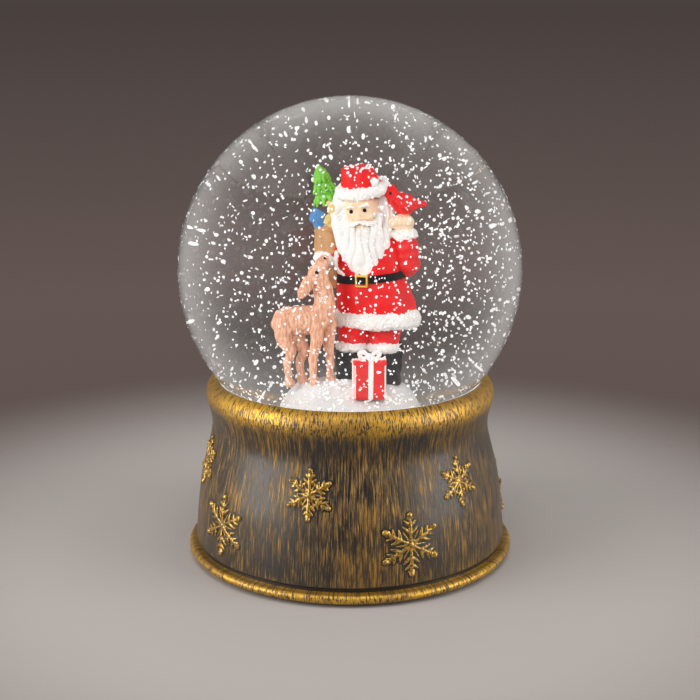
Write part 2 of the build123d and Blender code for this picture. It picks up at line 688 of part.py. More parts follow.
def motor_can():
    can = disc(MOTOR_R, BRACKET_Z - MOTOR_LENGTH, BRACKET_Z)
    can = fillet(can.edges().sort_by(Axis.Z)[0], 1.2)
    can = can + disc(3.0, BRACKET_Z - 0.1, BRACKET_Z + 1.2)
    can = can - disc(PIN_R + 0.06, 33, 50)
    for y in (-8.5, 8.5):
        can = can - disc(0.95, BRACKET_Z - 3.0, BRACKET_Z + 1, 0, y)
    for x in (-4.0, 4.0):
        can = can + block(x - 0.3, x + 0.3, -9.5, -8.0, 28.6, 32.0)
    return can


def motor_screws():
    """Two small machine screws from the bracket into the motor's face."""
    screws = []
    for y in (-8.5, 8.5):
        body = disc(0.9, BRACKET_Z - 2.8, BRACKET_TOP, 0, y)
        screws.append(body)
    return screws


def motor_shaft():
    return disc(PIN_R, 33.2, 49.0)


def magnet_holder():
    holder = disc(HOLDER_R, 46.0, 49.8)
    holder = holder + disc(2.6, 45.0, 46.5)
    for side in (-1, 1):
        holder = holder - disc(4.0, 47.3, 50.5, side * 8.2, 0)
    return holder - disc(PIN_R, 44, 49.0)


def drive_magnets():
    return [disc(4.0, 47.3, 49.8, side * 8.2, 0) for side in (-1, 1)]


def lamp_board():
    board = ring(BOARD_INNER_R, BOARD_R, BRACKET_TOP, BOARD_TOP)
    return board - block(-7, 7, -34, -31, BRACKET_TOP - 1, BOARD_TOP + 1)


def lamps():
    """Four domed lamps under the clear part of the plug."""
    domes = []
    for x, y in around(4, LAMP_CIRCLE_R, 45):
        foot = disc(LAMP_R + 0.4, BOARD_TOP, BOARD_TOP + 1.0, x, y)
        stem = disc(LAMP_R, BOARD_TOP, BOARD_TOP + LAMP_STEM, x, y)
        domes.append(foot + stem + Pos(x, y, BOARD_TOP + LAMP_STEM) * Sphere(LAMP_R))
    return domes


def lead(points, radius, bend):
    """Insulated lead along straight runs joined by round bends."""
    path = FilletPolyline(*points, radius=bend)
    section = Plane(origin=path @ 0, z_dir=path % 0) * Circle(radius)
    return sweep(section, path=path)


def battery_lead():
    """From the battery box's end wall to the switch."""
    return lead([(30.5, -10, 13), (36, -10, 13), (36, -32, 12), (18, -32, 9), (12.1, -32, 9)], 0.7, 2.5)


def board_lead():
    """From the switch up through the bracket's notch to the lamp board."""
    return lead([(-12.1, -32, 9), (-18, -32, 9), (-18, -32, 30), (-4, -31.5, 38), (-4, -30, 45.2)], 0.7, 3.0)


def motor_leads():
    """From the motor's two tabs to the lamp board."""
    leads = []
    for x in (-4.0, 4.0):
        start = (x, -9.6, 30.0)
        points = [start, (x, -14, 30.0), (x * 0.5, -26, 34.0), (x * 0.5 + 1.5, -29.5, 44.8)]
        leads.append(lead(points, 0.6, 2.5))
    return leads


# ------------------------------------------------------------------ assembly


def figures():
    """All the pieces that stand in the liquid, each fitted round its neighbours."""
    head = santa_head()
    coat = santa_coat(head)
    hand = raised_hand()
    legs = santa_trousers()
    boots = santa_boots()
    animal = deer()
    gift = gift_box()
    hat = santa_hat(head)
    brim = hat_brim(head, hat)
    belt = santa_belt(coat)
    buckle = belt_buckle(coat, belt)
    beard = santa_beard(head, hat, brim, coat, belt, hand)
    cuff = arm_cuff(hand, coat, beard)
    arm = raised_arm(cuff, coat, beard, belt)
    mitten = lower_mitten(animal)
    sack = toy_sack(coat, beard, mitten, animal, brim, belt)
    bear = toy_bear(sack, beard, brim, head, coat)
    tree = toy_tree(sack, bear, beard, brim, hat)
    parcel = toy_parcel(sack, tree, bear, beard)
    bird = red_bird(hand, cuff, brim, beard)
    trims = fur_trims(coat, legs, boots)
    legs = tuple(fitted(leg, coat, *boots) for leg in legs)
    ribbon = gift_ribbon(gift)
    mound = fitted(snow_mound(), gift, ribbon, animal, *boots)
    return {
        "santa_coat": coat,
        "santa_trousers": legs,
        "santa_boots": boots,
        "santa_fur_trims": trims,
        "santa_belt": belt,
        "belt_buckle": buckle,
        "santa_head": head,
        "santa_beard": beard,
        "santa_hat": hat,
        "hat_brim": brim,
        "raised_arm": arm,
        "arm_cuff": cuff,
        "raised_hand": hand,
        "lower_mitten": mitten,
        "toy_sack": sack,
        "toy_tree": tree,
        "toy_bear": bear,
        "toy_parcel": parcel,
        "red_bird": bird,
        "deer": fitted(animal, sack, coat, belt),
        "gift_box": gift,
        "gift_ribbon": ribbon,
        "snow_mound": mound,
    }


def pieces():
    nodes = figures()
    nodes.update({
        "glass_globe": glass_globe(),
        "liquid_fill": liquid_fill(),
        "snow_flakes": snow_flakes(),
        "globe_plug": globe_plug(),
        "plug_seal": plug_seal(),
        "impeller_pin": impeller_pin(),
        "impeller": impeller(),
        "impeller_magnet": impeller_magnet(),
        "flow_housing": flow_housing(),
        "base_shell": base_shell(),
        "snowflake_reliefs": snowflake_reliefs(),
        "bottom_cover": bottom_cover(),
        "battery_door": battery_door(),
        "battery_springs": battery_springs(),
        "contact_plates": contact_plates(),
        "switch_body": switch_body(),
        "switch_knob": switch_knob(),
        "rubber_feet": rubber_feet(),
        "cover_screws": cover_screws(),
        "bracket_screws": bracket_screws(),
        "motor_bracket": motor_bracket(),
        "motor_can": motor_can(),
        "motor_screws": motor_screws(),
        "motor_shaft": motor_shaft(),
        "magnet_holder": magnet_holder(),
        "drive_magnets": drive_magnets(),
        "lamp_board": lamp_board(),
        "lamps": lamps(),
        "battery_lead": battery_lead(),
        "board_lead": board_lead(),
        "motor_leads": motor_leads(),
    })
    for index in range(len(CELL_Y)):
        nodes[f"battery_cell_{index + 1}"] = cell(index)
    return nodes


def main():
    os.makedirs("parts", exist_ok=True)
    for name, piece in pieces().items():
        solids = []
        for one in piece if isinstance(piece, (tuple, list)) else [piece]:
            solids += one.solids()
        export_step(Compound(children=solids), f"parts/{name}.step")


main()
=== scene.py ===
import json
import random
from math import acos, asin, atan2, cos, degrees, exp, hypot, pi, radians, sin, sqrt

import bmesh
import bpy
import numpy as np
from mathutils import Euler, Matrix, Vector
from mathutils.bvhtree import BVHTree
from mathutils.noise import noise


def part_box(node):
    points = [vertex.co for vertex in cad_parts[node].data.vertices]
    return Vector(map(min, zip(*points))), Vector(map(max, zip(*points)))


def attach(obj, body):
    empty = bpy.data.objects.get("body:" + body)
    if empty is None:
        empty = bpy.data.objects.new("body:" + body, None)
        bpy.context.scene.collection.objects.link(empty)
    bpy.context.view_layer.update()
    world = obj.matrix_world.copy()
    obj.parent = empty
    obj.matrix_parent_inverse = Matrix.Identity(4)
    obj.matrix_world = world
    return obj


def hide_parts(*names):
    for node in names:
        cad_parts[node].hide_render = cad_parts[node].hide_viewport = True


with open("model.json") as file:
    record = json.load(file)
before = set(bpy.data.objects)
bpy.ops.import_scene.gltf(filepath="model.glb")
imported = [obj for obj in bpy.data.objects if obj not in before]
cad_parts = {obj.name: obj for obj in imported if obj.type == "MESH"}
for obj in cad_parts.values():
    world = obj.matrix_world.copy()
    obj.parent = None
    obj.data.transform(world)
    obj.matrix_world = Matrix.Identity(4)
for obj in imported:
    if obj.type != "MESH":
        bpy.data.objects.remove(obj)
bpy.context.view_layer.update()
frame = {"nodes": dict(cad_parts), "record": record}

# Pieces are modelled in millimetres on the CAD's axes, and turned into metres when they are finished.
MM = 0.001
BASE = "base"


def node_box(name):
    """Lowest and highest corner of a CAD node, in millimetres."""
    low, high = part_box(name)
    return low / MM, high / MM


# ------------------------------------------------------------------ sizes read from the frame

globe_low, globe_high = node_box("glass_globe")
liquid_low, liquid_high = node_box("liquid_fill")
GLOBE_R = (globe_high.y - globe_low.y) / 2
GLOBE_Z = globe_high.z - GLOBE_R
INNER_R = (liquid_high.y - liquid_low.y) / 2
GLASS = GLOBE_R - INNER_R
NECK_R = 38.0  # hidden inside the base, and narrower than its node's box
NECK_END_Z = globe_low.z
LIQUID_TOP = liquid_high.z
LIQUID_BOTTOM = liquid_low.z
LIQUID_OVERLAP = 0.08
LIQUID_FLOOR_GAP = 0.3
GLASS_SIDES = 256
GLASS_STEPS = 150
HOUSING_TOP = node_box("flow_housing")[1].z


# ------------------------------------------------------------------ mesh helpers


def spline_points(route, steps):
    """Points on a smooth curve through the route, as tuples of any length."""
    route = [np.array(p, float) for p in route]
    ends = [2 * route[0] - route[1]] + route + [2 * route[-1] - route[-2]]
    out = []
    for i in range(1, len(ends) - 2):
        p0, p1, p2, p3 = ends[i - 1:i + 3]
        for k in range(steps):
            t = k / steps
            out.append(0.5 * (2 * p1 + (p2 - p0) * t + (2 * p0 - 5 * p1 + 4 * p2 - p3) * t**2
                              + (3 * p1 - p0 - 3 * p2 + p3) * t**3))
    out.append(route[-1])
    return out


def unit_solid(make, **settings):
    """Corner points and faces of a bmesh primitive."""
    bm = bmesh.new()
    make(bm, **settings)
    points = [v.co.copy() for v in bm.verts]
    faces = [[v.index for v in face.verts] for face in bm.faces]
    bm.free()
    return points, faces


UNIT_BALLS = {n: unit_solid(bmesh.ops.create_icosphere, subdivisions=n, radius=1) for n in (2, 3)}
UNIT_BLOCK = unit_solid(bmesh.ops.create_cube, size=1)


def placed(at, turn):
    """Matrix that turns by degrees about x, y and z, then moves to a point."""
    return Matrix.Translation(at) @ Euler([radians(a) for a in turn]).to_matrix().to_4x4()


def ellipse(x, y, rx, ry, turn, sides):
    """Angle, x and y of each point round a level ellipse, turned by degrees."""
    spin = radians(turn)
    for k in range(sides):
        a = 2 * pi * k / sides
        px, py = rx * cos(a), ry * sin(a)
        yield a, x + px * cos(spin) - py * sin(spin), y + px * sin(spin) + py * cos(spin)


class Clay:
    """Shapes heaped together, then skinned over as one casting."""

    def __init__(self, place=None):
        self.points, self.faces = [], []
        self.place = place or Matrix.Identity(4)

    def add(self, solid, at, size, turn):
        """Heaps on a unit solid at a point, stretched by size and turned by degrees."""
        points, faces = solid
        tilt = placed((0, 0, 0), turn)
        matrix = self.place @ Matrix.Translation(at) @ tilt @ Matrix.Diagonal((*size, 1))
        start = len(self.points)
        self.points += [matrix @ point for point in points]
        self.faces += [[start + i for i in face] for face in faces]

    def ball(self, at, size, turn=(0, 0, 0), detail=3):
        if isinstance(size, (int, float)):
            size = (size, size, size)
        self.add(UNIT_BALLS[detail], at, size, turn)

    def limb(self, route, steps=8):
        """Round limb through (x, y, z, radius) points."""
        for x, y, z, radius in spline_points(route, steps):
            self.ball((x, y, z), radius, detail=2)

    def block(self, at, size, turn=(0, 0, 0)):
        self.add(UNIT_BLOCK, at, size, turn)

    def column(self, sections, turn=0.0, sides=48):
        """Closed column through level ellipses (x, y, z, rx, ry), all turned by degrees."""
        first = len(self.points)
        for x, y, z, rx, ry in sections:
            outline = ellipse(x, y, rx, ry, turn, sides)
            self.points += [self.place @ Vector((px, py, z)) for _, px, py in outline]
        rings = [[first + row * sides + k for k in range(sides)] for row in range(len(sections))]
        for low, high in zip(rings, rings[1:]):
            for k in range(sides):
                n = (k + 1) % sides
                self.faces.append([low[k], low[n], high[n], high[k]])
        self.faces += [rings[0][::-1], rings[-1]]

    def cast(self, voxel=0.3, smooth=4, keep=1.0):
        """The heap's outer skin as one smoothed mesh, in millimetres; keep is the share of its faces kept."""
        mesh = bpy.data.meshes.new("clay")
        mesh.from_pydata(self.points, [], self.faces)
        return skinned(mesh, voxel, smooth, keep)


def skinned(mesh, voxel, smooth, keep):
    """Voxel skin of a heap of closed shapes, smoothed and thinned; the heap's own mesh is removed."""
    holder = bpy.data.objects.new("clay", mesh)
    bpy.context.scene.collection.objects.link(holder)
    skin = holder.modifiers.new("skin", "REMESH")
    skin.mode = "VOXEL"
    skin.voxel_size = voxel
    soft = holder.modifiers.new("soft", "SMOOTH")
    soft.factor = 0.5
    soft.iterations = smooth
    if keep < 1.0:
        holder.modifiers.new("thin", "DECIMATE").ratio = keep
    bpy.context.view_layer.update()
    done = bpy.data.meshes.new_from_object(holder.evaluated_get(bpy.context.evaluated_depsgraph_get()))
    bpy.data.objects.remove(holder)
    bpy.data.meshes.remove(mesh)
    return done


def carve(mesh, height):
    """Moves each vertex along its normal by height(point, normal), in millimetres."""
    moves = [(v, v.normal.copy(), height(v.co, v.normal)) for v in mesh.vertices]
    for vertex, normal, amount in moves:
        vertex.co += normal * amount
    mesh.update()
    return mesh


def mesh_from(bm, name):
    """Mesh holding what a bmesh holds, which is then freed."""
    mesh = bpy.data.meshes.new(name)
    bm.to_mesh(mesh)
    bm.free()
    return mesh


def revolved(outline, sides):
    """Closed mesh of revolution from a closed outline of (radius, height) points; radius 0 is a pole."""
    bm = bmesh.new()
    rows = []
    for radius, z in outline:
        if radius < 1e-6:
            rows.append([bm.verts.new((0, 0, z))])
            continue
        angles = [2 * pi * k / sides for k in range(sides)]
        rows.append([bm.verts.new((radius * cos(a), radius * sin(a), z)) for a in angles])
    for a, b in zip(rows, rows[1:] + rows[:1]):
        for k in range(sides):
            n = (k + 1) % sides
            corners = [a[k % len(a)], a[n % len(a)], b[n % len(b)], b[k % len(b)]]
            corners = list(dict.fromkeys(corners))
            if len(corners) > 2:
                bm.faces.new(corners)
    bmesh.ops.recalc_face_normals(bm, faces=bm.faces)
    return mesh_from(bm, "turned")


def arc(radius, start, end, steps):
    """(radius, height) points on a circle about the globe's centre, angles up from the level, in degrees."""
    angles = [radians(start + (end - start) * k / steps) for k in range(steps + 1)]
    return [(max(radius * cos(a), 0.0), GLOBE_Z + radius * sin(a)) for a in angles]


def piece(name, mesh, slot, stands_for=(), body=BASE, sharp=40, material=None):
    """Finished piece in metres, riding on its body, in its slot's material unless another is given."""
    mesh.transform(Matrix.Scale(MM, 4))
    mesh.name = name
    mesh.shade_smooth()
    mesh.set_sharp_from_angle(angle=radians(sharp))
    mesh.materials.clear()
    mesh.materials.append(material or MATERIALS[slot])
    obj = bpy.data.objects.new(name, mesh)
    bpy.context.scene.collection.objects.link(obj)
    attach(obj, body)
    if stands_for:
        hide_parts(*stands_for)
    return obj


# ------------------------------------------------------------------ materials


class Nodes:
    """Short calls for the nodes of one shader tree."""

    def __init__(self, tree):
        self.tree = tree

    def node(self, kind, **settings):
        made = self.tree.nodes.new(kind)
        for key, value in settings.items():
            setattr(made, key, value)
        return made

    def feed(self, socket, value):
        if isinstance(value, bpy.types.NodeSocket):
            self.tree.links.new(value, socket)
        else:
            socket.default_value = value

    def vector(self, operation, a, b=None, scale=None):
        made = self.node("ShaderNodeVectorMath", operation=operation)
        self.feed(made.inputs[0], a)
        if b is not None:
            self.feed(made.inputs[1], b)
        if scale is not None:
            self.feed(made.inputs["Scale"], scale)
        return made.outputs["Value" if operation in ("DOT_PRODUCT", "LENGTH") else "Vector"]

    def math(self, operation, *values, clamp=False):
        made = self.node("ShaderNodeMath", operation=operation, use_clamp=clamp)
        for socket, value in zip(made.inputs, values):
            self.feed(socket, value)
        return made.outputs[0]

    def ramp(self, value, low, high, start=0.0, end=1.0, kind="SMOOTHSTEP"):
        """Step from start to end as value goes from low to high, smooth unless kind is LINEAR."""
        made = self.node("ShaderNodeMapRange", interpolation_type=kind)
        sockets = ("Value", "From Min", "From Max", "To Min", "To Max")
        for socket, number in zip(sockets, (value, low, high, start, end)):
            self.feed(made.inputs[socket], number)
        return made.outputs["Result"]

    def mix(self, share, first, second):
        """Colour from first to second."""
        made = self.node("ShaderNodeMix", data_type="RGBA")
        self.feed(made.inputs[0], share)
        for socket, color in ((made.inputs[6], first), (made.inputs[7], second)):
            self.feed(socket, color if isinstance(color, bpy.types.NodeSocket) else (*color, 1))
        return made.outputs[2]


class Shader(Nodes):
    """One Principled material. Its patterns are in millimetres."""

    def __init__(self, name, color, roughness, **values):
        self.material = bpy.data.materials.new(name)
        self.material.use_nodes = True
        super().__init__(self.material.node_tree)
        self.surface = self.tree.nodes["Principled BSDF"]
        self.surface.inputs["Base Color"].default_value = (*color, 1)
        self.surface.inputs["Roughness"].default_value = roughness
        for socket, value in values.items():
            self.surface.inputs[socket.replace("_", " ")].default_value = value
        where = self.node("ShaderNodeTexCoord").outputs["Object"]
        self.where = self.vector("SCALE", where, scale=1 / MM)

    def times(self, a, b):
        return self.math("MULTIPLY", a, b)

    def rest(self, share):
        """What a share leaves of 1."""
        return self.math("SUBTRACT", 1.0, share)

    def noise(self, size, detail=2.0, rough=0.5, where=None, warp=0.0):
        made = self.node("ShaderNodeTexNoise")
        self.feed(made.inputs["Vector"], where or self.where)
        made.inputs["Scale"].default_value = 1 / size
        made.inputs["Detail"].default_value = detail
        made.inputs["Roughness"].default_value = rough
        made.inputs["Distortion"].default_value = warp
        return made.outputs["Fac"]

    def spread_noise(self, size):
        """Slow noise as a vector, for bending another pattern."""
        made = self.node("ShaderNodeTexNoise")
        self.feed(made.inputs["Vector"], self.where)
        made.inputs["Scale"].default_value = 1 / size
        made.inputs["Detail"].default_value = 1.0
        return self.vector("SUBTRACT", made.outputs["Color"], (0.5, 0.5, 0.5))

    def bump(self, height, depth, strength=1.0):
        """Bump of a depth in millimetres."""
        made = self.node("ShaderNodeBump")
        made.inputs["Strength"].default_value = strength
        made.inputs["Distance"].default_value = depth * MM
        self.feed(made.inputs["Height"], height)
        self.feed(self.surface.inputs["Normal"], made.outputs["Normal"])

    def hollows(self, spread=0.06):
        """1 in hollows, 0 elsewhere."""
        pointed = self.node("ShaderNodeNewGeometry").outputs["Pointiness"]
        return self.ramp(pointed, 0.5 - spread, 0.5, 1.0, 0.0)

    def set(self, socket, value):
        self.feed(self.surface.inputs[socket], value)


def cast_paint(name, color, shade, roughness, patch=6.0, bump=0.05, wash=0.6, coat=0.15, **values):
    """Hand-painted resin: uneven colour, painted shade darkening the hollows, a fine brushed grain."""
    s = Shader(name, color, roughness, Coat_Weight=coat, Coat_Roughness=0.3, **values)
    uneven = s.ramp(s.noise(patch, 3.0), 0.3, 0.7, 0.0, 0.55)
    tone = s.mix(uneven, color, [0.65 * c + 0.35 * d for c, d in zip(color, shade)])
    # Painted shade: the hollows are darkened towards the shade colour.
    tone = s.mix(s.times(s.hollows(), wash), tone, shade)
    s.set("Base Color", tone)
    s.set("Roughness", s.ramp(s.noise(patch / 3, 2.0), 0.3, 0.7, roughness - 0.06, roughness + 0.12))
    s.bump(s.noise(0.5, 4.0, 0.6), bump)
    return s.material


def moulded(name, color, roughness, grain_size=0.35, depth=0.02, **values):
    """Moulded plastic, rubber or metal with a fine even grain and faint wear."""
    s = Shader(name, color, roughness, **values)
    worn = s.ramp(s.noise(9.0, 4.0, 0.6), 0.55, 0.75, 0.0, 0.5)
    lighter = [min(1.0, c * 1.25 + 0.015) for c in color]
    s.set("Base Color", s.mix(worn, color, lighter))
    s.set("Roughness", s.ramp(s.noise(3.0, 3.0), 0.25, 0.75, roughness * 0.85, min(1.0, roughness * 1.2)))
    s.bump(s.noise(grain_size, 2.0), depth)
    return s.material


GOLD = (0.50, 0.27, 0.045)
BRIGHT_GOLD = (0.66, 0.37, 0.04)
DARK_GOLD = (0.16, 0.085, 0.02)
BRONZE_BLACK = (0.010, 0.009, 0.008)
# Painted light: pale colour and glow for the seat under the ball, standing for lamp light and haze at the
# ball's bottom.
SEAT_PAINTED_LIGHT = (0.55, 0.53, 0.51)
SEAT_PAINTED_GLOW = 0.75


def antique_bronze():
    """Black lacquer brushed with gold: fine upright strokes on the side, nearly solid on the rim and bead;
    the seat inside the lip painted pale and glowing, as painted light.
    """
    s = Shader("antique_bronze", BRONZE_BLACK, 0.3, Coat_Weight=0.10, Coat_Roughness=0.18)
    apart = s.node("ShaderNodeSeparateXYZ")
    s.feed(apart.inputs[0], s.where)
    height = apart.outputs["Z"]
    level = s.vector("MULTIPLY", s.where, (1, 1, 0))
    around = s.vector("SCALE", s.vector("NORMALIZE", level), scale=60.0)
    sway = s.vector("SCALE", s.spread_noise(30.0), scale=0.05)
    around = s.vector("ADD", around, sway)

    def drawn(size, detail, rough, climb):
        """Noise drawn out upright, the more so the smaller its climb."""
        along = s.vector("MULTIPLY", s.where, (0, 0, climb))
        return s.noise(size, detail, rough, s.vector("ADD", around, along))

    fine = drawn(0.13, 3.0, 0.7, 0.016)
    hairs = drawn(0.21, 3.0, 0.65, 0.018)
    broad = drawn(1.0, 3.0, 0.6, 0.12)
    flecks = drawn(0.5, 4.0, 0.7, 0.22)
    cloud = s.noise(20.0, 3.0, 0.55)
    rim = s.ramp(s.math("ADD", height, s.times(hairs, 9.0)), 67.0, 73.0)
    bead = s.ramp(height, 5.4, 4.6)
    bright = s.math("MAXIMUM", rim, bead)
    body = s.math("ADD", s.times(fine, 0.5), s.times(hairs, 0.35))
    body = s.math("ADD", body, s.times(broad, 0.15))
    body = s.math("ADD", body, s.times(s.math("SUBTRACT", cloud, 0.5), 0.20))
    strokes = s.ramp(body, 0.485, 0.585, 0.02, 0.85)
    groove = s.rest(s.times(s.ramp(height, 7.6, 6.8), s.ramp(height, 4.7, 5.0)))
    lip_edge = s.times(s.ramp(s.vector("LENGTH", level), 55.0, 54.6), s.ramp(height, 60.0, 61.0))
    strokes = s.times(strokes, groove)
    specks = s.ramp(flecks, 0.43, 0.53, 0.06, 1.0)
    share = s.math("ADD", s.times(strokes, s.rest(bright)), s.times(specks, bright), clamp=True)
    gold = s.mix(s.ramp(broad, 0.35, 0.65), DARK_GOLD, GOLD)
    gold = s.mix(bright, gold, s.mix(s.ramp(cloud, 0.4, 0.6), GOLD, BRIGHT_GOLD))
    share = s.times(share, s.rest(lip_edge))
    tone = s.mix(share, BRONZE_BLACK, gold)
    # Painted light: the seat inside the lip is painted pale and made to glow, standing for lamp light and
    # haze seen there through the ball.
    painted_glow_seat = s.times(s.ramp(s.vector("LENGTH", level), 54.5, 54.3), s.ramp(height, 55.0, 56.0))
    s.set("Base Color", s.mix(painted_glow_seat, tone, SEAT_PAINTED_LIGHT))
    s.surface.inputs["Emission Color"].default_value = (*SEAT_PAINTED_LIGHT, 1)
    s.set("Emission Strength", s.times(painted_glow_seat, SEAT_PAINTED_GLOW))
    s.set("Metallic", s.times(s.times(share, 0.8), s.rest(painted_glow_seat)))
    s.set("Roughness", s.ramp(share, 0.0, 1.0, 0.30, 0.42))
    s.bump(s.math("ADD", s.times(share, 0.6), fine), 0.05)
    return s.material


def rubbed_gold():
    """Gold rubbed over the tops of the raised snowflakes, black left in their hollows."""
    s = Shader("rubbed_gold", GOLD, 0.36, Coat_Weight=0.2, Coat_Roughness=0.2)
    specks = s.ramp(s.noise(0.8, 4.0, 0.65), 0.42, 0.52, 0.1, 1.0)
    raised = s.rest(s.hollows(0.03))
    share = s.times(specks, raised)
    s.set("Base Color", s.mix(share, BRONZE_BLACK, (0.52, 0.30, 0.05)))
    s.set("Metallic", s.times(share, 0.8))
    s.bump(s.noise(0.4, 3.0), 0.05)
    return s.material


def clear(name, ior):
    """Clear glass or liquid with a trace of unevenness."""
    s = Shader(name, (1, 1, 1), 0.0, IOR=ior, Transmission_Weight=1.0)
    s.bump(s.noise(60.0, 1.0), 0.004)
    return s.material


def deer_coat():
    """Peach resin, darker brown along the low lines of the carved hair, and painted shade darkening its
    hollows.
    """
    s = Shader("paint_deer", (0.86, 0.48, 0.31), 0.5, Coat_Weight=0.1, Coat_Roughness=0.4)
    hair = s.noise(0.7, 4.0, 0.65, s.vector("MULTIPLY", s.where, (1.0, 1.0, 0.28)), 0.5)
    tone = s.mix(s.ramp(hair, 0.38, 0.66), (0.64, 0.30, 0.175), (0.93, 0.55, 0.38))
    # Painted shade: the hollows turn dark brown.
    tone = s.mix(s.times(s.hollows(0.08), 0.75), tone, (0.34, 0.13, 0.06))
    s.set("Base Color", tone)
    s.bump(hair, 0.12)
    return s.material


def glitter_snow():
    """Snow paste: fine crystals with a few glints."""
    color = (0.72, 0.71, 0.70)
    s = Shader("snow_white", color, 0.6, Subsurface_Weight=0.15, Subsurface_Scale=0.002)
    grains = s.noise(0.45, 4.0, 0.7)
    s.set("Base Color", s.mix(s.ramp(s.noise(4.0, 3.0), 0.3, 0.7, 0.0, 0.5), color, (0.60, 0.60, 0.62)))
    s.set("Roughness", s.ramp(grains, 0.4, 0.62, 0.75, 0.25))
    s.bump(grains, 0.25)
    return s.material


def flake_white():
    """Thin white plastic film, with a faint glow for the light that comes through it."""
    s = Shader("snow_flake", (0.95, 0.95, 0.96), 0.35, Emission_Strength=0.22)
    s.surface.inputs["Emission Color"].default_value = (1.0, 0.99, 0.97, 1)
    s.set("Base Color", s.mix(s.ramp(s.noise(2.5, 1.0), 0.4, 0.6), (0.96, 0.96, 0.97), (0.86, 0.87, 0.90)))
    s.bump(s.noise(0.3, 2.0), 0.01)
    return s.material


def cell_wrap():
    """Battery sleeve: plain dark blue film, a little scuffed."""
    s = Shader("cell_wrap", (0.03, 0.07, 0.2), 0.25, Coat_Weight=0.4)
    scuffs = s.ramp(s.noise(2.0, 4.0, 0.6), 0.6, 0.7, 0.0, 0.6)
    s.set("Base Color", s.mix(scuffs, (0.03, 0.07, 0.2), (0.12, 0.16, 0.26)))
    s.bump(s.noise(0.8, 2.0), 0.01)
    return s.material


# Colour, roughness, and the size and depth of the grain.
MOULDED = {
    "black_plastic": ((0.018, 0.018, 0.019), 0.5, 0.3, 0.03),
    "white_plastic": ((0.78, 0.78, 0.76), 0.35),
    "black_rubber": ((0.02, 0.02, 0.02), 0.75, 0.25, 0.04),
    "board_green": ((0.02, 0.16, 0.06), 0.35, 1.2, 0.01),
    "lead_red": ((0.5, 0.02, 0.02), 0.45),
    "lead_black": ((0.02, 0.02, 0.02), 0.45),
}
# Colour, colour of the painted shade in the hollows, and roughness.
PAINTS = {
    "paint_skin": ((0.95, 0.72, 0.50), (0.68, 0.36, 0.18), 0.45, dict(wash=0.5)),
    "paint_tan": ((0.58, 0.31, 0.13), (0.18, 0.08, 0.02), 0.55, dict(bump=0.10)),
    "paint_green": ((0.21, 0.62, 0.05), (0.01, 0.17, 0.01), 0.45, {}),
    "paint_yellow": ((0.84, 0.63, 0.22), (0.45, 0.24, 0.05), 0.45, {}),
    "paint_blue": ((0.09, 0.28, 0.62), (0.02, 0.07, 0.22), 0.4, {}),
    "paint_red": ((0.84, 0.006, 0.008), (0.30, 0.002, 0.004), 0.45, dict(coat=0.04, Specular_IOR_Level=0.35)),
    "paint_white": ((0.93, 0.915, 0.89), (0.50, 0.485, 0.47), 0.6, dict(bump=0.10, wash=0.55, coat=0.0)),
    "paint_black": ((0.003, 0.003, 0.004), (0.001, 0.001, 0.001), 0.5,
                    dict(coat=0.0, Specular_IOR_Level=0.25)),
    "paint_gold": ((0.95, 0.62, 0.10), (0.45, 0.22, 0.02), 0.35, dict(Metallic=0.6)),
}
MATERIALS = {
    "clear_glass": clear("clear_glass", 1.45),
    "clear_liquid": clear("clear_liquid", 1.34),
    "snow_white": glitter_snow(),
    "antique_bronze": antique_bronze(),
    "rubbed_gold": rubbed_gold(),
    "cell_wrap": cell_wrap(),
    "paint_deer": deer_coat(),
    # The clear plastic's faint glow is painted light, standing for the lamps in the base shining up through
    # it.
    "clear_plastic": moulded("clear_plastic", (0.86, 0.88, 0.90), 0.3, 1.0, 0.01, Transmission_Weight=0.3,
                             IOR=1.49, Emission_Color=(0.8, 0.78, 0.75, 1), Emission_Strength=0.25),
    "steel": moulded("steel", (0.55, 0.55, 0.56), 0.3, 0.25, 0.01, Metallic=1.0),
    "magnet_nickel": moulded("magnet_nickel", (0.6, 0.59, 0.57), 0.15, 0.5, 0.005, Metallic=1.0),
    "lamp_clear": moulded("lamp_clear", (0.9, 0.9, 0.85), 0.1, 2.0, 0.003, Transmission_Weight=0.8),
}
MATERIALS.update({name: moulded(name, *look) for name, look in MOULDED.items()})
MATERIALS.update({name: cast_paint(name, *look, **extra) for name, (*look, extra) in PAINTS.items()})
FLAKE = flake_white()
# Dark sheet round the raised snowflakes: partly black paint, partly painted shadow.
WASH_AND_SHADOW = cast_paint("black_wash_and_shadow", (0.02, 0.016, 0.011), (0.006, 0.005, 0.004), 0.4, patch=2.0, coat=0.1)


def dress_cad_nodes():
    """Gives each CAD node the material of its slot in the record."""
    slots = {row["node"]: row["material_slot"] for row in frame["record"]["subparts"]}
    for name, obj in frame["nodes"].items():
        obj.data.materials.clear()
        obj.data.materials.append(MATERIALS[slots[name]])
        obj.data.shade_smooth()
        obj.data.set_sharp_from_angle(angle=radians(32))


# ------------------------------------------------------------------ globe and liquid


def make_globe():
    """Blown glass ball with its short neck, smooth enough to look through."""
    inner_neck = NECK_R - GLASS
    outer = arc(GLOBE_R, 90, -degrees(acos(NECK_R / GLOBE_R)), GLASS_STEPS)
    inner = arc(INNER_R, -degrees(acos(inner_neck / INNER_R)), 90, GLASS_STEPS)
    outline = outer + [(NECK_R, NECK_END_Z), (inner_neck, NECK_END_Z)] + inner
    globe = piece("globe_glass", revolved(outline, GLASS_SIDES), "clear_glass", ["glass_globe"])
    globe.visible_shadow = False
    return globe


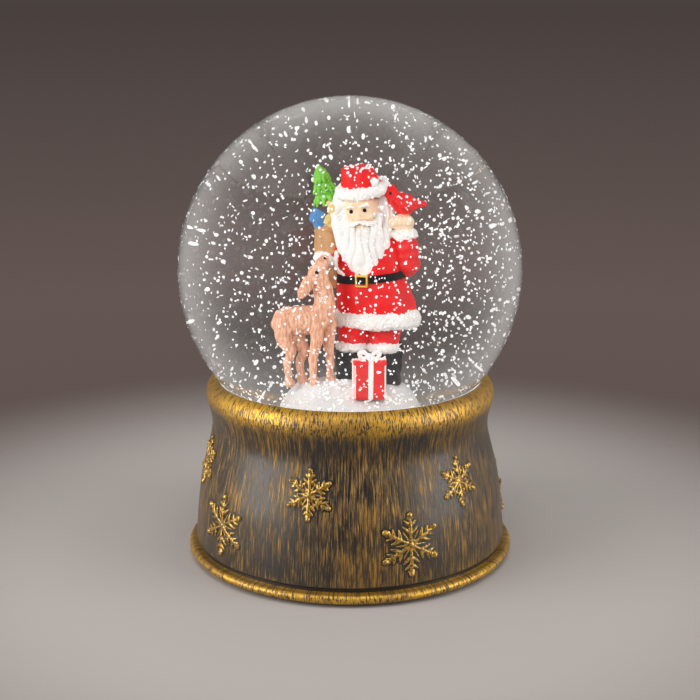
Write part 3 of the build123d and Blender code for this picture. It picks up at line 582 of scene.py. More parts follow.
def make_liquid():
    """Liquid filling the ball; it reaches a hair into the glass, so no air film shows between them."""
    radius = INNER_R + LIQUID_OVERLAP
    floor_z = LIQUID_BOTTOM + LIQUID_FLOOR_GAP
    side = arc(radius, 90, degrees(asin((floor_z - GLOBE_Z) / radius)), GLASS_STEPS)
    mesh = revolved(side + [(0.0, floor_z)], GLASS_SIDES)
    liquid = piece("globe_liquid", mesh, "clear_liquid", ["liquid_fill"])
    liquid.visible_shadow = False
    return liquid


# ------------------------------------------------------------------ figures


def fluff(amount, size, seed):
    """Short curly fur."""
    def height(point, normal):
        q = point / size + Vector((seed, 0, 0))
        return amount * (0.65 * noise(q) + 0.35 * noise(q * 2.3))
    return height


def strands(centre, count, amount, wave, seed=0.0):
    """Combed locks running down round an upright axis, with a slow wave in them."""
    def height(point, normal):
        offset = point - Vector(centre)
        around = atan2(offset.x, -offset.y)
        drift = 0.10 * noise(Vector((around * 2.0 + seed, offset.z * 0.12, 1.7)))
        bend = sin(offset.z * 0.42 + 2.2 * sin(around * 3 + seed))
        phase = count * (around + drift) + wave * bend
        ridge = 1 - abs(sin(phase))
        lump = noise(point / 2.6)
        return amount * (0.55 - ridge) + 0.25 * amount * lump
    return height


TORSO_TURN = -18.0
HEAD_PLACE = placed((3.3, -1.2, 137.2), (3, -8, -8))


def make_coat():
    clay = Clay()
    torso = [(8.2, 0.4, 101.3, 11.6, 8.2), (8.2, 0.4, 103.0, 12.5, 9.2), (7.8, 0.2, 109.0, 12.2, 9.6),
             (7.0, 0.2, 113.5, 11.2, 9.2), (6.5, 0.2, 117.0, 10.0, 8.6), (6.4, 0.2, 120.0, 10.2, 8.8),
             (6.4, 0.3, 125.0, 10.2, 8.2), (6.0, 0.5, 129.5, 8.6, 6.8), (5.4, 0.6, 132.0, 5.6, 5.0)]
    clay.column(torso, TORSO_TURN)
    clay.ball((-0.6, 0.4, 125.4), (3.9, 4.0, 4.4))
    clay.limb([(-1.6, 0.8, 124.0, 3.6), (-4.6, 0.0, 122.6, 3.0), (-7.0, -0.8, 122.0, 2.5)])
    mesh = clay.cast(0.3, 8)

    def folds(point, normal):
        around = atan2(point.x - 7.5, -point.y)
        low = max(0.0, min(1.0, (116 - point.z) / 12))
        drape = sin(around * 9 + 1.5 * sin(point.z * 0.18))
        pinch = exp(-((point.z - 117) / 1.6) ** 2)
        gathers = sin(around * 22)
        return 0.28 * low * drape + 0.18 * pinch * gathers + 0.12 * noise(point / 3.5)

    return piece("figure_coat", carve(mesh, folds), "paint_red", ["santa_coat"])


def make_raised_arm():
    clay = Clay()
    clay.limb([(14.2, 0.4, 126.0, 4.4), (17.2, -0.6, 121.6, 4.3), (17.9, -2.0, 120.6, 3.9)])
    clay.limb([(17.9, -2.4, 120.8, 3.9), (17.5, -3.0, 125.0, 3.9), (17.0, -3.2, 129.0, 3.6)])
    mesh = clay.cast(0.3, 8)

    def creases(point, normal):
        return 0.16 * sin(point.z * 1.9 + 2.5 * noise(point / 4)) + 0.1 * noise(point / 2)

    return piece("figure_raised_arm", carve(mesh, creases), "paint_red", ["raised_arm"])


def fur_band(clay, x, y, z, rx, ry, thick, turn=0.0, dip=0.0, roll=0.0, sides=56):
    """Fat ring of fur round an ellipse; dip raises its back and roll its right side."""
    for a, px, py in ellipse(x, y, rx, ry, turn, sides):
        at = (px, py, z + dip * sin(a) + roll * cos(a))
        swell = 1.0 + 0.06 * sin(5 * a + x)
        clay.ball(at, (thick[0] * swell, thick[0] * swell, thick[1] * swell), detail=2)


def make_fur_trims():
    clay = Clay()
    fur_band(clay, 8.3, 0.3, 103.7, 11.5, 8.4, (2.2, 3.0), TORSO_TURN)
    fur_band(clay, 0.8, -0.2, 95.2, 3.6, 4.0, (1.7, 1.8), sides=28)
    fur_band(clay, 10.4, -1.2, 95.0, 3.6, 4.0, (1.7, 1.9), sides=28)
    clay.limb([(-4.0, -3.2, 124.6, 0.7), (-4.3, -4.0, 121.4, 0.65), (-3.6, -5.2, 119.2, 0.65),
               (-2.0, -7.0, 118.2, 0.6)])
    clay.ball((16.8, -3.1, 130.2), (4.2, 4.1, 2.4))
    clay.ball((-7.6, -1.4, 122.2), (3.6, 3.4, 2.4), (0, 20, 0))
    mesh = carve(clay.cast(0.28, 3), fluff(0.55, 1.05, 3.0))
    nodes = ["santa_fur_trims", "arm_cuff", "lower_mitten"]
    return piece("figure_fur_trims", mesh, "paint_white", nodes)


def make_trousers():
    clay = Clay()
    clay.column([(1.1, -0.2, 94.8, 4.3, 4.6), (1.3, -0.2, 97.0, 5.0, 5.2), (1.8, 0, 102.5, 5.2, 6.0)])
    clay.column([(10.5, -1.2, 94.8, 4.2, 4.6), (10.4, -1.0, 97.0, 4.9, 5.2), (10.2, -0.6, 102.5, 5.4, 6.0)])
    mesh = clay.cast(0.3, 6)

    def creases(point, normal):
        return 0.2 * sin(point.z * 1.5 + point.x) + 0.12 * noise(point / 2)

    return piece("figure_trousers", carve(mesh, creases), "paint_red", ["santa_trousers"])


def make_boots():
    clay = Clay()
    for x, y, ground in ((-0.9, -1.0, 85.4), (12.1, -2.6, 83.7)):
        clay.limb([(x + 0.4, y + 1.6, 94.4, 3.9), (x, y + 1.4, ground + 4.4, 3.6)])
        clay.limb([(x, y + 2.0, ground + 2.6, 3.2), (x, y - 1.6, ground + 2.6, 3.3),
                   (x + 0.2, y - 4.0, ground + 2.3, 3.0)])
        clay.block((x, y - 1.0, ground + 0.5), (6.6, 10.6, 1.2))
        clay.block((x, y + 2.9, ground + 0.9), (6.2, 3.4, 2.0))
    mesh = carve(clay.cast(0.28, 4), lambda p, n: 0.12 * noise(p / 1.8))
    return piece("figure_boots", mesh, "paint_black", ["santa_boots"])


def make_belt():
    clay = Clay()
    for a, x, y in ellipse(6.5, 0.2, 10.2, 8.8, TORSO_TURN, 72):
        clay.block((x, y, 116.7 + 0.95 * cos(a)), (1.2, 1.2, 2.4), (0, 0, degrees(a) + TORSO_TURN))
    mesh = carve(clay.cast(0.22, 4), lambda p, n: 0.06 * noise(p / 1.5))
    return piece("figure_belt", mesh, "paint_black", ["santa_belt"])


def make_buckle():
    clay = Clay(placed((3.6, -8.9, 116.5), (0, 0, TORSO_TURN)))
    for side in (-1, 1):
        clay.block((side * 1.75, 0, 0), (0.55, 1.0, 3.7))
        clay.block((0, 0, side * 1.58), (4.05, 1.0, 0.55))
    mesh = clay.cast(0.13, 2)
    return piece("figure_buckle", mesh, "paint_gold", ["belt_buckle"])


def make_head():
    """Calm old man's face on plain classical proportions."""
    clay = Clay(HEAD_PLACE)
    clay.ball((0, 0, 0.4), (5.6, 5.6, 6.6))
    clay.ball((0, -4.6, -0.9), (1.0, 1.3, 1.3))
    clay.limb([(0, -4.9, 1.6, 0.55), (0, -5.4, 0.2, 0.65), (0, -5.7, -0.8, 0.85)])
    for side in (-1, 1):
        clay.ball((side * 0.7, -5.3, -1.0), 0.55)
        clay.ball((side * 2.7, -4.0, -0.9), (1.7, 1.3, 1.4))
        clay.limb([(side * 0.9, -5.2, 2.4, 0.5), (side * 2.3, -5.0, 2.7, 0.55),
                   (side * 3.6, -4.2, 2.3, 0.45)])
        clay.ball((side * 5.4, 0.6, 0.4), (0.8, 1.2, 1.7))
    clay.ball((0, -4.2, -4.0), (1.6, 1.5, 1.2))
    clay.limb([(-1.0, -5.4, -3.4, 0.35), (0, -5.7, -3.5, 0.45), (1.0, -5.4, -3.4, 0.35)])
    mesh = clay.cast(0.2, 4)

    def sockets(point, normal):
        local = HEAD_PLACE.inverted() @ point
        depth = 0.0
        for side in (-1, 1):
            gap = (Vector((side * 2.15, -5.0, 1.3)) - local).length
            depth -= 0.35 * exp(-(gap / 0.9) ** 2)
        return depth

    return piece("figure_head", carve(mesh, sockets), "paint_skin", ["santa_head"])


def make_eyes():
    """Two small glossy painted eyes."""
    clay = Clay(HEAD_PLACE)
    for side in (-1, 1):
        clay.ball((side * 2.15, -4.95, 1.3), (0.62, 0.42, 0.66))
    mesh = clay.cast(0.1, 2)
    return piece("figure_eyes", mesh, "paint_black")


def make_beard():
    clay = Clay()
    clay.column([(4.4, -6.9, 117.8, 2.0, 1.0), (4.5, -6.5, 119.4, 3.9, 2.1), (4.5, -5.8, 122.4, 6.3, 3.4),
                 (4.3, -4.4, 126.2, 8.3, 5.0), (4.1, -2.8, 130.2, 9.0, 6.0), (4.0, -0.8, 133.0, 8.8, 5.3)])
    for side in (-1, 1):
        lift = 0.8 * side
        x = 3.9 + side * 7.2
        clay.limb([(x - side * 0.4, 0.0, 141.6 + lift, 2.2), (x, -0.6, 138.0 + lift, 2.5),
                   (x - side * 0.2, -1.6, 134.0, 2.7),
                   (x - side * 1.0, -2.4, 130.0, 2.6)])
        clay.limb([(x - side * 2.2, -3.4, 135.8, 1.6), (x - side * 3.0, -5.0, 133.0, 1.7),
                   (x - side * 3.6, -6.4, 130.0, 1.9)])
    clay.ball((3.9, 2.6, 137.0), (7.9, 5.4, 7.0))
    mesh = clay.cast(0.28, 5)
    mesh = carve(mesh, strands((3.8, 1.5, 128.0), 12.5, 0.5, 1.2))
    return piece("figure_beard", mesh, "paint_white", ["santa_beard"])


def make_moustache():
    clay = Clay(HEAD_PLACE)
    for side in (-1, 1):
        clay.limb([(side * 0.35, -6.0, -2.1, 0.6), (side * 1.8, -6.1, -2.5, 0.85),
                   (side * 3.4, -5.5, -3.0, 0.8),
                   (side * 5.0, -4.4, -3.1, 0.45)])
        clay.limb([(side * 1.1, -5.5, 2.8, 0.35), (side * 2.3, -5.4, 3.1, 0.5),
                   (side * 3.7, -4.6, 2.6, 0.35)])
    mesh = clay.cast(0.16, 3)
    mesh = carve(mesh, fluff(0.22, 0.7, 9.0))
    return piece("figure_moustache_and_brows", mesh, "paint_white")


def make_hat():
    clay = Clay()
    clay.column([(3.7, 0.2, 142.0, 6.5, 6.3), (3.3, 0.2, 145.0, 6.1, 5.9), (2.8, 0.2, 147.6, 5.6, 5.4),
                 (2.3, 0.2, 150.0, 5.0, 4.8), (2.2, 0.2, 150.6, 4.3, 4.1)])
    clay.limb([(4.6, -1.2, 148.8, 2.2), (6.8, -3.0, 148.4, 1.5), (7.6, -4.8, 147.8, 0.9)])
    mesh = clay.cast(0.26, 6)

    def folds(point, normal):
        slant = sin(point.z * 1.2 + point.x * 0.7)
        return 0.12 * slant + 0.14 * noise(point / 2.4)

    return piece("figure_hat", carve(mesh, folds), "paint_red", ["santa_hat"])


def make_brim():
    clay = Clay()
    fur_band(clay, 3.8, -0.2, 143.9, 6.7, 6.6, (1.8, 2.0), 0.0, 0.2, 0.95)
    clay.ball((7.7, -5.5, 147.5), 1.35)
    mesh = carve(clay.cast(0.26, 3), fluff(0.5, 1.0, 5.0))
    return piece("figure_hat_brim", mesh, "paint_white", ["hat_brim"])


def make_hand():
    clay = Clay()
    clay.ball((16.3, -3.2, 133.9), (3.7, 2.9, 2.9))
    for k in range(4):
        x = 13.9 + 1.5 * k
        clay.limb([(x, -3.4, 134.6, 1.0), (x + 0.1, -5.4, 135.6, 0.95), (x + 0.1, -5.9, 134.2, 0.8)])
    clay.limb([(13.6, -4.0, 133.2, 1.1), (12.9, -5.2, 134.4, 0.95), (13.6, -5.6, 135.6, 0.8)])
    mesh = carve(clay.cast(0.22, 5), lambda p, n: 0.06 * noise(p / 1.2))
    return piece("figure_hand", mesh, "paint_skin", ["raised_hand"])


def make_sack():
    clay = Clay()
    clay.column([(-5.4, 3.0, 113.0, 2.6, 3.4), (-5.8, 3.0, 118.0, 4.0, 4.8), (-6.2, 3.0, 124.0, 4.5, 5.2),
                 (-6.4, 3.0, 129.0, 4.2, 4.6), (-6.4, 3.0, 131.4, 3.9, 4.2)])
    fur_band(clay, -6.4, 3.0, 131.2, 3.6, 3.9, (0.9, 1.0), sides=32)
    mesh = clay.cast(0.28, 5)

    def cloth(point, normal):
        around = atan2(point.x + 7, -(point.y - 3))
        return 0.28 * sin(around * 7 + point.z * 0.3) * 0.8 + 0.22 * noise(point / 1.6)

    return piece("figure_sack", carve(mesh, cloth), "paint_tan", ["toy_sack"])


def make_tree():
    """Little fir with three ragged tiers, leaning out of the sack."""
    clay = Clay(placed((-5.2, 4.0, 132.4), (0, -14, 0)))
    clay.limb([(0, 0, 0, 0.8), (0, 0, 16.5, 0.5)])
    for tier, (z, radius, rise) in enumerate(((6.6, 4.2, 5.0), (10.2, 3.5, 4.6), (13.4, 2.5, 4.4))):
        for k in range(10):
            a = 2 * pi * k / 10 + tier * 0.31
            x, y = radius * cos(a), radius * sin(a)
            clay.limb([(0, 0, z + rise, 0.6), (0.5 * x, 0.5 * y, z + 0.52 * rise, 0.85), (x, y, z, 0.42)], 6)
    mesh = carve(clay.cast(0.2, 1), fluff(0.35, 0.7, 11.0))
    return piece("figure_tree", mesh, "paint_green", ["toy_tree"])


def make_bear():
    clay = Clay(Matrix.Translation((0.3, -0.4, 0)))
    clay.ball((-5.0, 0.4, 133.6), (2.9, 2.2, 2.8))
    clay.ball((-5.2, 0.0, 137.6), (2.1, 1.9, 2.0))
    clay.ball((-5.3, -1.8, 137.2), (0.9, 0.7, 0.7))
    for side in (-1, 1):
        clay.ball((-5.2 + side * 1.6, 0.3, 139.3), 0.8)
        clay.limb([(-5.0 + side * 2.0, -0.6, 135.2, 0.9), (-5.0 + side * 2.7, -1.8, 133.8, 0.8)])
    mesh = carve(clay.cast(0.22, 3), fluff(0.25, 0.7, 2.0))
    return piece("figure_bear", mesh, "paint_yellow", ["toy_bear"])


def make_parcel():
    """Small blue toy parcel at the sack's mouth."""
    clay = Clay(placed((-9.6, 0.6, 134.6), (0, -16, 24)))
    clay.block((0, 0, -0.8), (3.8, 3.0, 4.0))
    clay.block((-0.2, 0, 1.2), (3.0, 2.6, 3.0), (0, 45, 0))
    clay.ball((-2.0, -0.2, 0.4), (1.2, 1.0, 1.2))
    mesh = carve(clay.cast(0.2, 3), lambda p, n: 0.08 * noise(p / 1.2))
    return piece("figure_parcel", mesh, "paint_blue", ["toy_parcel"])


def make_bird():
    """Small round red songbird with a crest, facing the hat."""
    clay = Clay(Matrix.Translation((-0.9, 0, 0.3)))
    clay.ball((17.4, -3.0, 139.6), (4.2, 2.7, 3.4), (0, 20, 0))
    clay.ball((15.0, -3.0, 141.2), (2.6, 2.3, 2.6))
    clay.ball((13.7, -3.0, 143.0), 2.1)
    clay.limb([(13.6, -3.0, 144.2, 1.2), (14.3, -3.0, 145.3, 0.5)])
    clay.limb([(12.2, -3.0, 142.8, 0.7), (11.2, -3.0, 142.5, 0.3)])
    clay.limb([(19.6, -3.0, 139.8, 2.2), (22.0, -3.0, 139.6, 1.4), (24.0, -3.0, 139.5, 0.9)])
    for side in (-1, 1):
        clay.limb([(16.0, -3.0 + side * 2.2, 141.0, 1.2), (18.6, -3.0 + side * 2.5, 139.6, 1.3),
                   (21.4, -3.0 + side * 1.6, 138.6, 0.6)])

    def feathers(point, normal):
        return 0.12 * sin(point.x * 3.2 + point.z) + 0.1 * noise(point / 0.9)

    return piece("figure_bird", carve(clay.cast(0.2, 3), feathers), "paint_red", ["red_bird"])


def make_deer():
    """Standing fawn looking up, with carved hair."""
    clay = Clay()
    clay.limb([(-19.6, -5.4, 103.6, 4.3), (-16.0, -6.2, 103.8, 4.5), (-12.0, -7.0, 104.2, 4.5),
               (-9.2, -7.6, 105.0, 4.2)])
    clay.limb([(-8.6, -7.8, 105.6, 4.0), (-7.9, -8.0, 109.4, 3.4), (-8.4, -8.0, 113.6, 3.1),
               (-9.6, -8.0, 117.0, 3.0)])
    clay.ball((-10.2, -8.0, 118.2), (3.0, 2.7, 3.1), (0, 20, 0))
    clay.limb([(-10.0, -8.0, 119.2, 2.7), (-8.9, -8.2, 121.6, 2.1), (-8.0, -8.2, 123.3, 1.6)])
    clay.ball((-10.0, -8.0, 121.2), (1.5, 1.7, 1.3))
    for side in (-1, 1):
        y = -8.2 + side * 2.2
        ear = (-13.4 + 0.5 * side, y + side * 0.5, 115.0 + 0.5 * side)
        clay.ball(ear, (1.9, 0.8, 3.9), (side * 10, 38, 0))
        clay.ball((-12.0, y, 117.2), (1.2, 0.9, 1.4), (0, 32, 0))
    fore = ((-10.2, -9.6, 83.6, -11.4), (-6.4, -6.4, 84.2, -6.2))
    for top_x, y, ground, foot_x in fore:
        clay.limb([(top_x, y, 103.0, 2.5), (top_x - 0.2, y, 97.5, 1.9), (foot_x, y, 92.5, 1.45),
                   (foot_x, y, 87.0, 1.2), (foot_x, y, ground + 1.6, 1.35),
                   (foot_x + 0.5, y - 0.6, ground + 0.6, 1.5)])
    hind = ((-20.6, -7.0, 83.6, -18.9), (-16.4, -3.8, 84.4, -14.8))
    for top_x, y, ground, foot_x in hind:
        clay.limb([(top_x, y, 103.0, 3.4), (top_x + 0.3, y, 98.0, 2.6), (foot_x + 0.6, y, 94.0, 1.7),
                   (foot_x - 0.5, y, 90.6, 1.4), (foot_x, y, 86.6, 1.15), (foot_x, y, ground + 1.4, 1.35),
                   (foot_x + 0.3, y - 0.6, ground + 0.6, 1.5)])
    clay.limb([(-22.6, -4.6, 104.4, 1.1), (-23.2, -4.4, 102.4, 1.1), (-22.8, -4.3, 100.6, 0.6)])
    mesh = clay.cast(0.26, 5)

    def hair(point, normal):
        drift = noise(Vector((point.x * 0.22, point.y * 0.22, point.z * 0.12)))
        comb = 1 - abs(sin(2.1 * (point.x + 0.7 * point.y) + 5.0 * drift))
        return 0.22 * (0.5 - comb) + 0.22 * noise(point / 1.7)

    return piece("figure_deer", carve(mesh, hair), "paint_deer", ["deer"])


def make_small_eyes():
    """The deer's and the bird's eyes and the deer's nose."""
    clay = Clay()
    clay.ball((-10.4, -10.75, 119.6), 0.6)
    clay.ball((-10.4, -5.25, 119.6), 0.6)
    clay.ball((-7.9, -9.4, 123.9), (0.55, 0.5, 0.4))
    clay.ball((12.6, -4.95, 143.7), 0.5)
    clay.ball((12.6, -1.05, 143.7), 0.5)
    return piece("figure_small_eyes", clay.cast(0.1, 2), "paint_black")


GIFT_PLACE = placed((6.1, -16.0, 79.6), (0, 0, 6))


def make_gift():
    clay = Clay(GIFT_PLACE)
    clay.block((0, 0, 6.2), (9.8, 8.0, 12.8))
    clay.block((0, 0, 12.2), (10.5, 8.7, 1.4))
    mesh = carve(clay.cast(0.2, 3), lambda p, n: 0.07 * noise(p / 1.6))
    return piece("figure_gift", mesh, "paint_red", ["gift_box"])


def make_ribbon():
    clay = Clay(GIFT_PLACE)
    clay.block((0.2, 0, 6.5), (1.6, 9.0, 13.5))
    clay.block((0, 0, 6.5), (10.8, 1.6, 13.5))
    for side in (-1, 1):
        for edge in (-1, 1):
            clay.limb([(side * 4.85, edge * 4.0, 0.2, 0.3), (side * 4.85, edge * 4.0, 11.6, 0.3)], 24)
        clay.limb([(0.2, -0.4, 13.7, 0.55), (side * 1.8, -0.8, 15.4, 0.75), (side * 3.2, -0.8, 14.9, 0.75),
                   (side * 2.2, -0.8, 13.6, 0.55), (0.2, -0.6, 13.7, 0.5)], 10)
        clay.limb([(0.2, -0.6, 13.7, 0.5), (side * 1.4, -2.4, 13.6, 0.55), (side * 2.4, -3.8, 13.3, 0.4)], 10)
    clay.ball((0.2, -0.8, 14.2), (1.0, 0.9, 0.9))
    mesh = carve(clay.cast(0.17, 2), lambda p, n: 0.05 * noise(p / 0.9))
    return piece("figure_gift_ribbon", mesh, "paint_white", ["gift_ribbon"])


def make_mound():
    """Snow hill, lower at the front where the gift stands, over the housing's top."""
    bm = bmesh.new()
    rings, sides = 60, 144
    rows = []
    for i in range(rings + 1):
        t = i / rings
        row = []
        for k in range(sides):
            a = 2 * pi * k / sides
            edge = 22.0 + 0.5 * sin(3 * a + 1) + 0.35 * sin(7 * a)
            radius = edge * t
            x, y = radius * cos(a), radius * sin(a)
            drop = 1.1 * (radius / 12) ** 2 + 7.4 * max(0.0, (radius - 15.0) / 7.0) ** 1.7
            front = 2.6 * exp(-((x - 6) / 8.5) ** 2) * max(0.0, min(1.0, (-y - 8.5) / 4))
            z = 85.9 - drop - front
            z += 0.55 * noise(Vector((x, y, 0)) / 3.2) + 0.22 * noise(Vector((x, y, 3)) / 1.1)
            row.append(bm.verts.new((x, y, max(z, HOUSING_TOP + 0.4))))
        rows.append(row)
    foot = [bm.verts.new((v.co.x, v.co.y, HOUSING_TOP + 0.05)) for v in rows[-1]]
    rows.append(foot)
    for low, high in zip(rows[1:], rows[2:]):
        for k in range(sides):
            n = (k + 1) % sides
            bm.faces.new((low[k], high[k], high[n], low[n]))
    for k in range(sides):
        bm.faces.new((rows[0][0], rows[1][k], rows[1][(k + 1) % sides]))
    for vertex in rows[0][1:]:
        bm.verts.remove(vertex)
    bm.faces.new(foot)
    bmesh.ops.recalc_face_normals(bm, faces=bm.faces)
    return piece("snow_hill", mesh_from(bm, "mound"), "snow_white", ["snow_mound"], sharp=60)


# ------------------------------------------------------------------ flakes

FLAKE_COUNT = 3300
LYING_FLAKES = 420
FLAKE_SIDES = 8
FLAKE_HALF_THICK = 0.09
WALL_GAP = 1.2
FLAKE_REACH = 0.004  # metres searched for a solid near a flake
FLAKE_GAP = 0.0007  # metres kept clear of it
HOUSING_CLEAR_R = 23.5
SNOW_R = 24.5
ABOVE_FIGURES_Z = 165.0


def make_flakes(solids):
    """Thin round flakes hanging all through the liquid, and some lying on the figures and the snow."""
    rng = random.Random(20)
    trees = [BVHTree.FromObject(o, bpy.context.evaluated_depsgraph_get()) for o in solids]

    def buried(point):
        for tree in trees:
            near, normal, _, distance = tree.find_nearest(point * MM, FLAKE_REACH)
            if near is not None and ((point * MM - near).dot(normal) < 0 or distance < FLAKE_GAP):
                return True
        return False

    bm = bmesh.new()

    def flake(at, radius, tilt):
        squash = rng.uniform(0.75, 1.0)
        matrix = Matrix.Translation(at) @ tilt.to_4x4()
        rings = []
        for z in (-FLAKE_HALF_THICK, FLAKE_HALF_THICK):
            outline = ellipse(0, 0, radius, radius * squash, 0, FLAKE_SIDES)
            rings.append([bm.verts.new(matrix @ Vector((x, y, z))) for _, x, y in outline])
        bm.faces.new(rings[0][::-1])
        bm.faces.new(rings[1])
        for k in range(FLAKE_SIDES):
            n = (k + 1) % FLAKE_SIDES
            bm.faces.new((rings[0][k], rings[0][n], rings[1][n], rings[1][k]))

    count = 0
    while count < FLAKE_COUNT:
        point = Vector([rng.uniform(-1, 1) for _ in range(3)]) * (INNER_R - WALL_GAP)
        if point.length > INNER_R - WALL_GAP:
            continue
        weight = 0.42 + 0.46 * max(0.0, min(1.0, 0.5 + point.x / 75 - point.z / 150))
        weight += 1.1 * max(0.0, min(1.0, (-point.z - 30) / 10))
        clump = noise(point / 13)
        if rng.random() > weight * (0.75 + 0.9 * clump):
            continue
        at = point + Vector((0, 0, GLOBE_Z))
        if at.z > LIQUID_TOP - 1.0 or at.z < LIQUID_BOTTOM + 1.5:
            continue
        if hypot(at.x, at.y) < HOUSING_CLEAR_R and at.z < HOUSING_TOP + 1.0:
            continue
        if buried(at):
            continue
        tilt = Euler([rng.uniform(0, pi) for _ in range(3)]).to_matrix()
        flake(at, rng.uniform(0.32, 0.56), tilt)
        count += 1
    lying = 0
    while lying < LYING_FLAKES:
        angle, reach = rng.uniform(0, 2 * pi), SNOW_R * sqrt(rng.random())
        above = Vector((reach * cos(angle), reach * sin(angle), ABOVE_FIGURES_Z)) * MM
        hits = [tree.ray_cast(above, Vector((0, 0, -1))) for tree in trees]
        hits = [(hit[0], hit[1]) for hit in hits if hit[0] is not None]
        if not hits:
            continue
        top, normal = max(hits, key=lambda hit: hit[0].z)
        if normal.z < 0.25 or (top.z / MM > 95 and rng.random() < 0.45):
            continue
        wobble = Euler([rng.uniform(-0.35, 0.35), rng.uniform(-0.35, 0.35), 0]).to_matrix()
        tilt = normal.to_track_quat("Z", "X").to_matrix() @ wobble
        flake(top / MM + normal * 0.16, rng.uniform(0.36, 0.58), tilt)
        lying += 1
    return piece("drifting_flakes", mesh_from(bm, "flakes"), "snow_white", ["snow_flakes"], material=FLAKE)


# ------------------------------------------------------------------ snowflake reliefs

UPPER_FLAKE_R = 10.0
UPPER_FLAKE_Z = 42.4
LOWER_FLAKE_R = 12.5
LOWER_FLAKE_Z = 22.6
# Start and length of the side branches along an arm, in radii, and their thickness.
ARM_BRANCHES = ((0.36, 0.34, 0.72), (0.60, 0.26, 0.66), (0.76, 0.13, 0.42))
SHELL_SIDE_R = 62.0  # widths across a snowflake are true at this radius
UPRIGHT_SHARE = 0.985  # heights shrink a little, as the shell's side leans


def flake_stamp(radius, spread, rise, voxel):
    """One snowflake lying flat, its relief up z. Spread fattens its arms; rise scales the relief's height."""
    clay = Clay()
    flat = Matrix.Diagonal((1, 1, rise, 1))
    for arm in range(6):
        clay.place = flat @ Matrix.Rotation(radians(90 + 60 * arm), 4, "Z")
        clay.limb([(radius * 0.05, 0, 0.12, 0.5 + spread), (radius * 0.34, 0, 0.2, 0.66 + spread),
                   (radius * 0.62, 0, 0.2, 0.72 + spread), (radius * 0.86, 0, 0.12, 0.36 + spread)], 14)
        clay.ball((radius * 0.93, 0, 0.15), (radius * 0.1 + spread, radius * 0.1 + spread, 1.0))
        for start, length, thick in ARM_BRANCHES:
            for side in (-1, 1):
                angle = radians(48 * side)
                reach = [radius * length * f for f in (0.0, 0.5, 1.0)]
                clay.limb([(radius * start + r * cos(angle), r * sin(angle), 0.1, t + spread)
                           for r, t in zip(reach, (thick * 0.7, thick, 0.34))], 8)
        clay.place = flat @ Matrix.Rotation(radians(60 * arm), 4, "Z")
        clay.limb([(radius * 0.12, 0, 0.0, 0.45 + spread), (radius * 0.48, 0, 0.0, 0.32 + spread)], 12)
    clay.place = flat
    clay.ball((0, 0, 0.1), (radius * 0.10 + spread, radius * 0.10 + spread, 0.9))
    return clay.cast(voxel, smooth=2, keep=0.45)


def wrapped(stamp, shell, z, azimuth):
    """The stamp bent onto the shell's side, its centre at a height and at an angle from the front."""
    mesh = stamp.copy()
    for vertex in mesh.vertices:
        across, up, out = vertex.co
        height = z + up * UPRIGHT_SHARE
        angle = radians(azimuth) + across / SHELL_SIDE_R
        away = Vector((sin(angle), -cos(angle), 0))
        start = (away * 90 + Vector((0, 0, height))) * MM
        near, normal, _, _ = shell.ray_cast(start, -away)
        vertex.co = near / MM + normal * out
    return mesh


def make_reliefs():
    """The raised snowflakes, and the dark sheet that lies round each of them: partly black paint, partly
    painted shadow.
    """
    shell = BVHTree.FromObject(frame["nodes"]["base_shell"], bpy.context.evaluated_depsgraph_get())
    rows = [(UPPER_FLAKE_R, UPPER_FLAKE_Z, azimuth) for azimuth in (-75.0, -15.0, 45.0, 114.0, 165.0, 225.0)]
    rows += [(LOWER_FLAKE_R, LOWER_FLAKE_Z, azimuth) for azimuth in (-52.5, 21.5, 97.0, 135.0, 195.0, 252.0)]

    def both_rows(spread, rise, voxel):
        stamps = {r: flake_stamp(r, spread, rise, voxel) for r in (UPPER_FLAKE_R, LOWER_FLAKE_R)}
        bm = bmesh.new()
        for radius, z, azimuth in rows:
            bm.from_mesh(wrapped(stamps[radius], shell, z, azimuth))
        return mesh_from(bm, "reliefs")

    reliefs = both_rows(spread=0.0, rise=1.0, voxel=0.26)
    # Painted shadow: a low dark sheet, partly black paint, lies round each snowflake.
    wash = both_rows(spread=0.75, rise=0.10, voxel=0.42)
    piece("snowflake_wash_and_shadow", wash, "antique_bronze", sharp=70, material=WASH_AND_SHADOW)
    piece("raised_snowflakes", reliefs, "rubbed_gold", ["snowflake_reliefs"], sharp=70)


# ------------------------------------------------------------------ stage

# Where the sky's colour changes: 0 is straight down, 0.5 is level and 1 is straight up behind the object.
SKY_STOPS = ((0.0, (0.20, 0.18, 0.17)), (0.28, (0.10, 0.078, 0.070)), (0.40, (0.128, 0.094, 0.086)),
             (0.50, (0.066, 0.052, 0.048)), (0.53, (0.085, 0.070, 0.065)), (0.61, (0.21, 0.195, 0.185)),
             (0.72, (0.34, 0.32, 0.30)), (1.0, (0.26, 0.25, 0.245)))
SIDE_LIGHT = (0.44, 0.41, 0.39)
FLOOR_COLOR = (0.39, 0.364, 0.35)
FLOOR_R = 0.42
FLOOR_FADE = (120.0, 300.0)
WARM_WHITE = (1.0, 0.985, 0.96)
AIM = Vector((0, 0, 0.11))
LENS = 69.8
CAMERA_BACK = 7.797  # ball radii in front of the ball's centre
CAMERA_UP = 1.466  # ball radii above it
CAMERA_DIP = 0.245  # radians down from the level


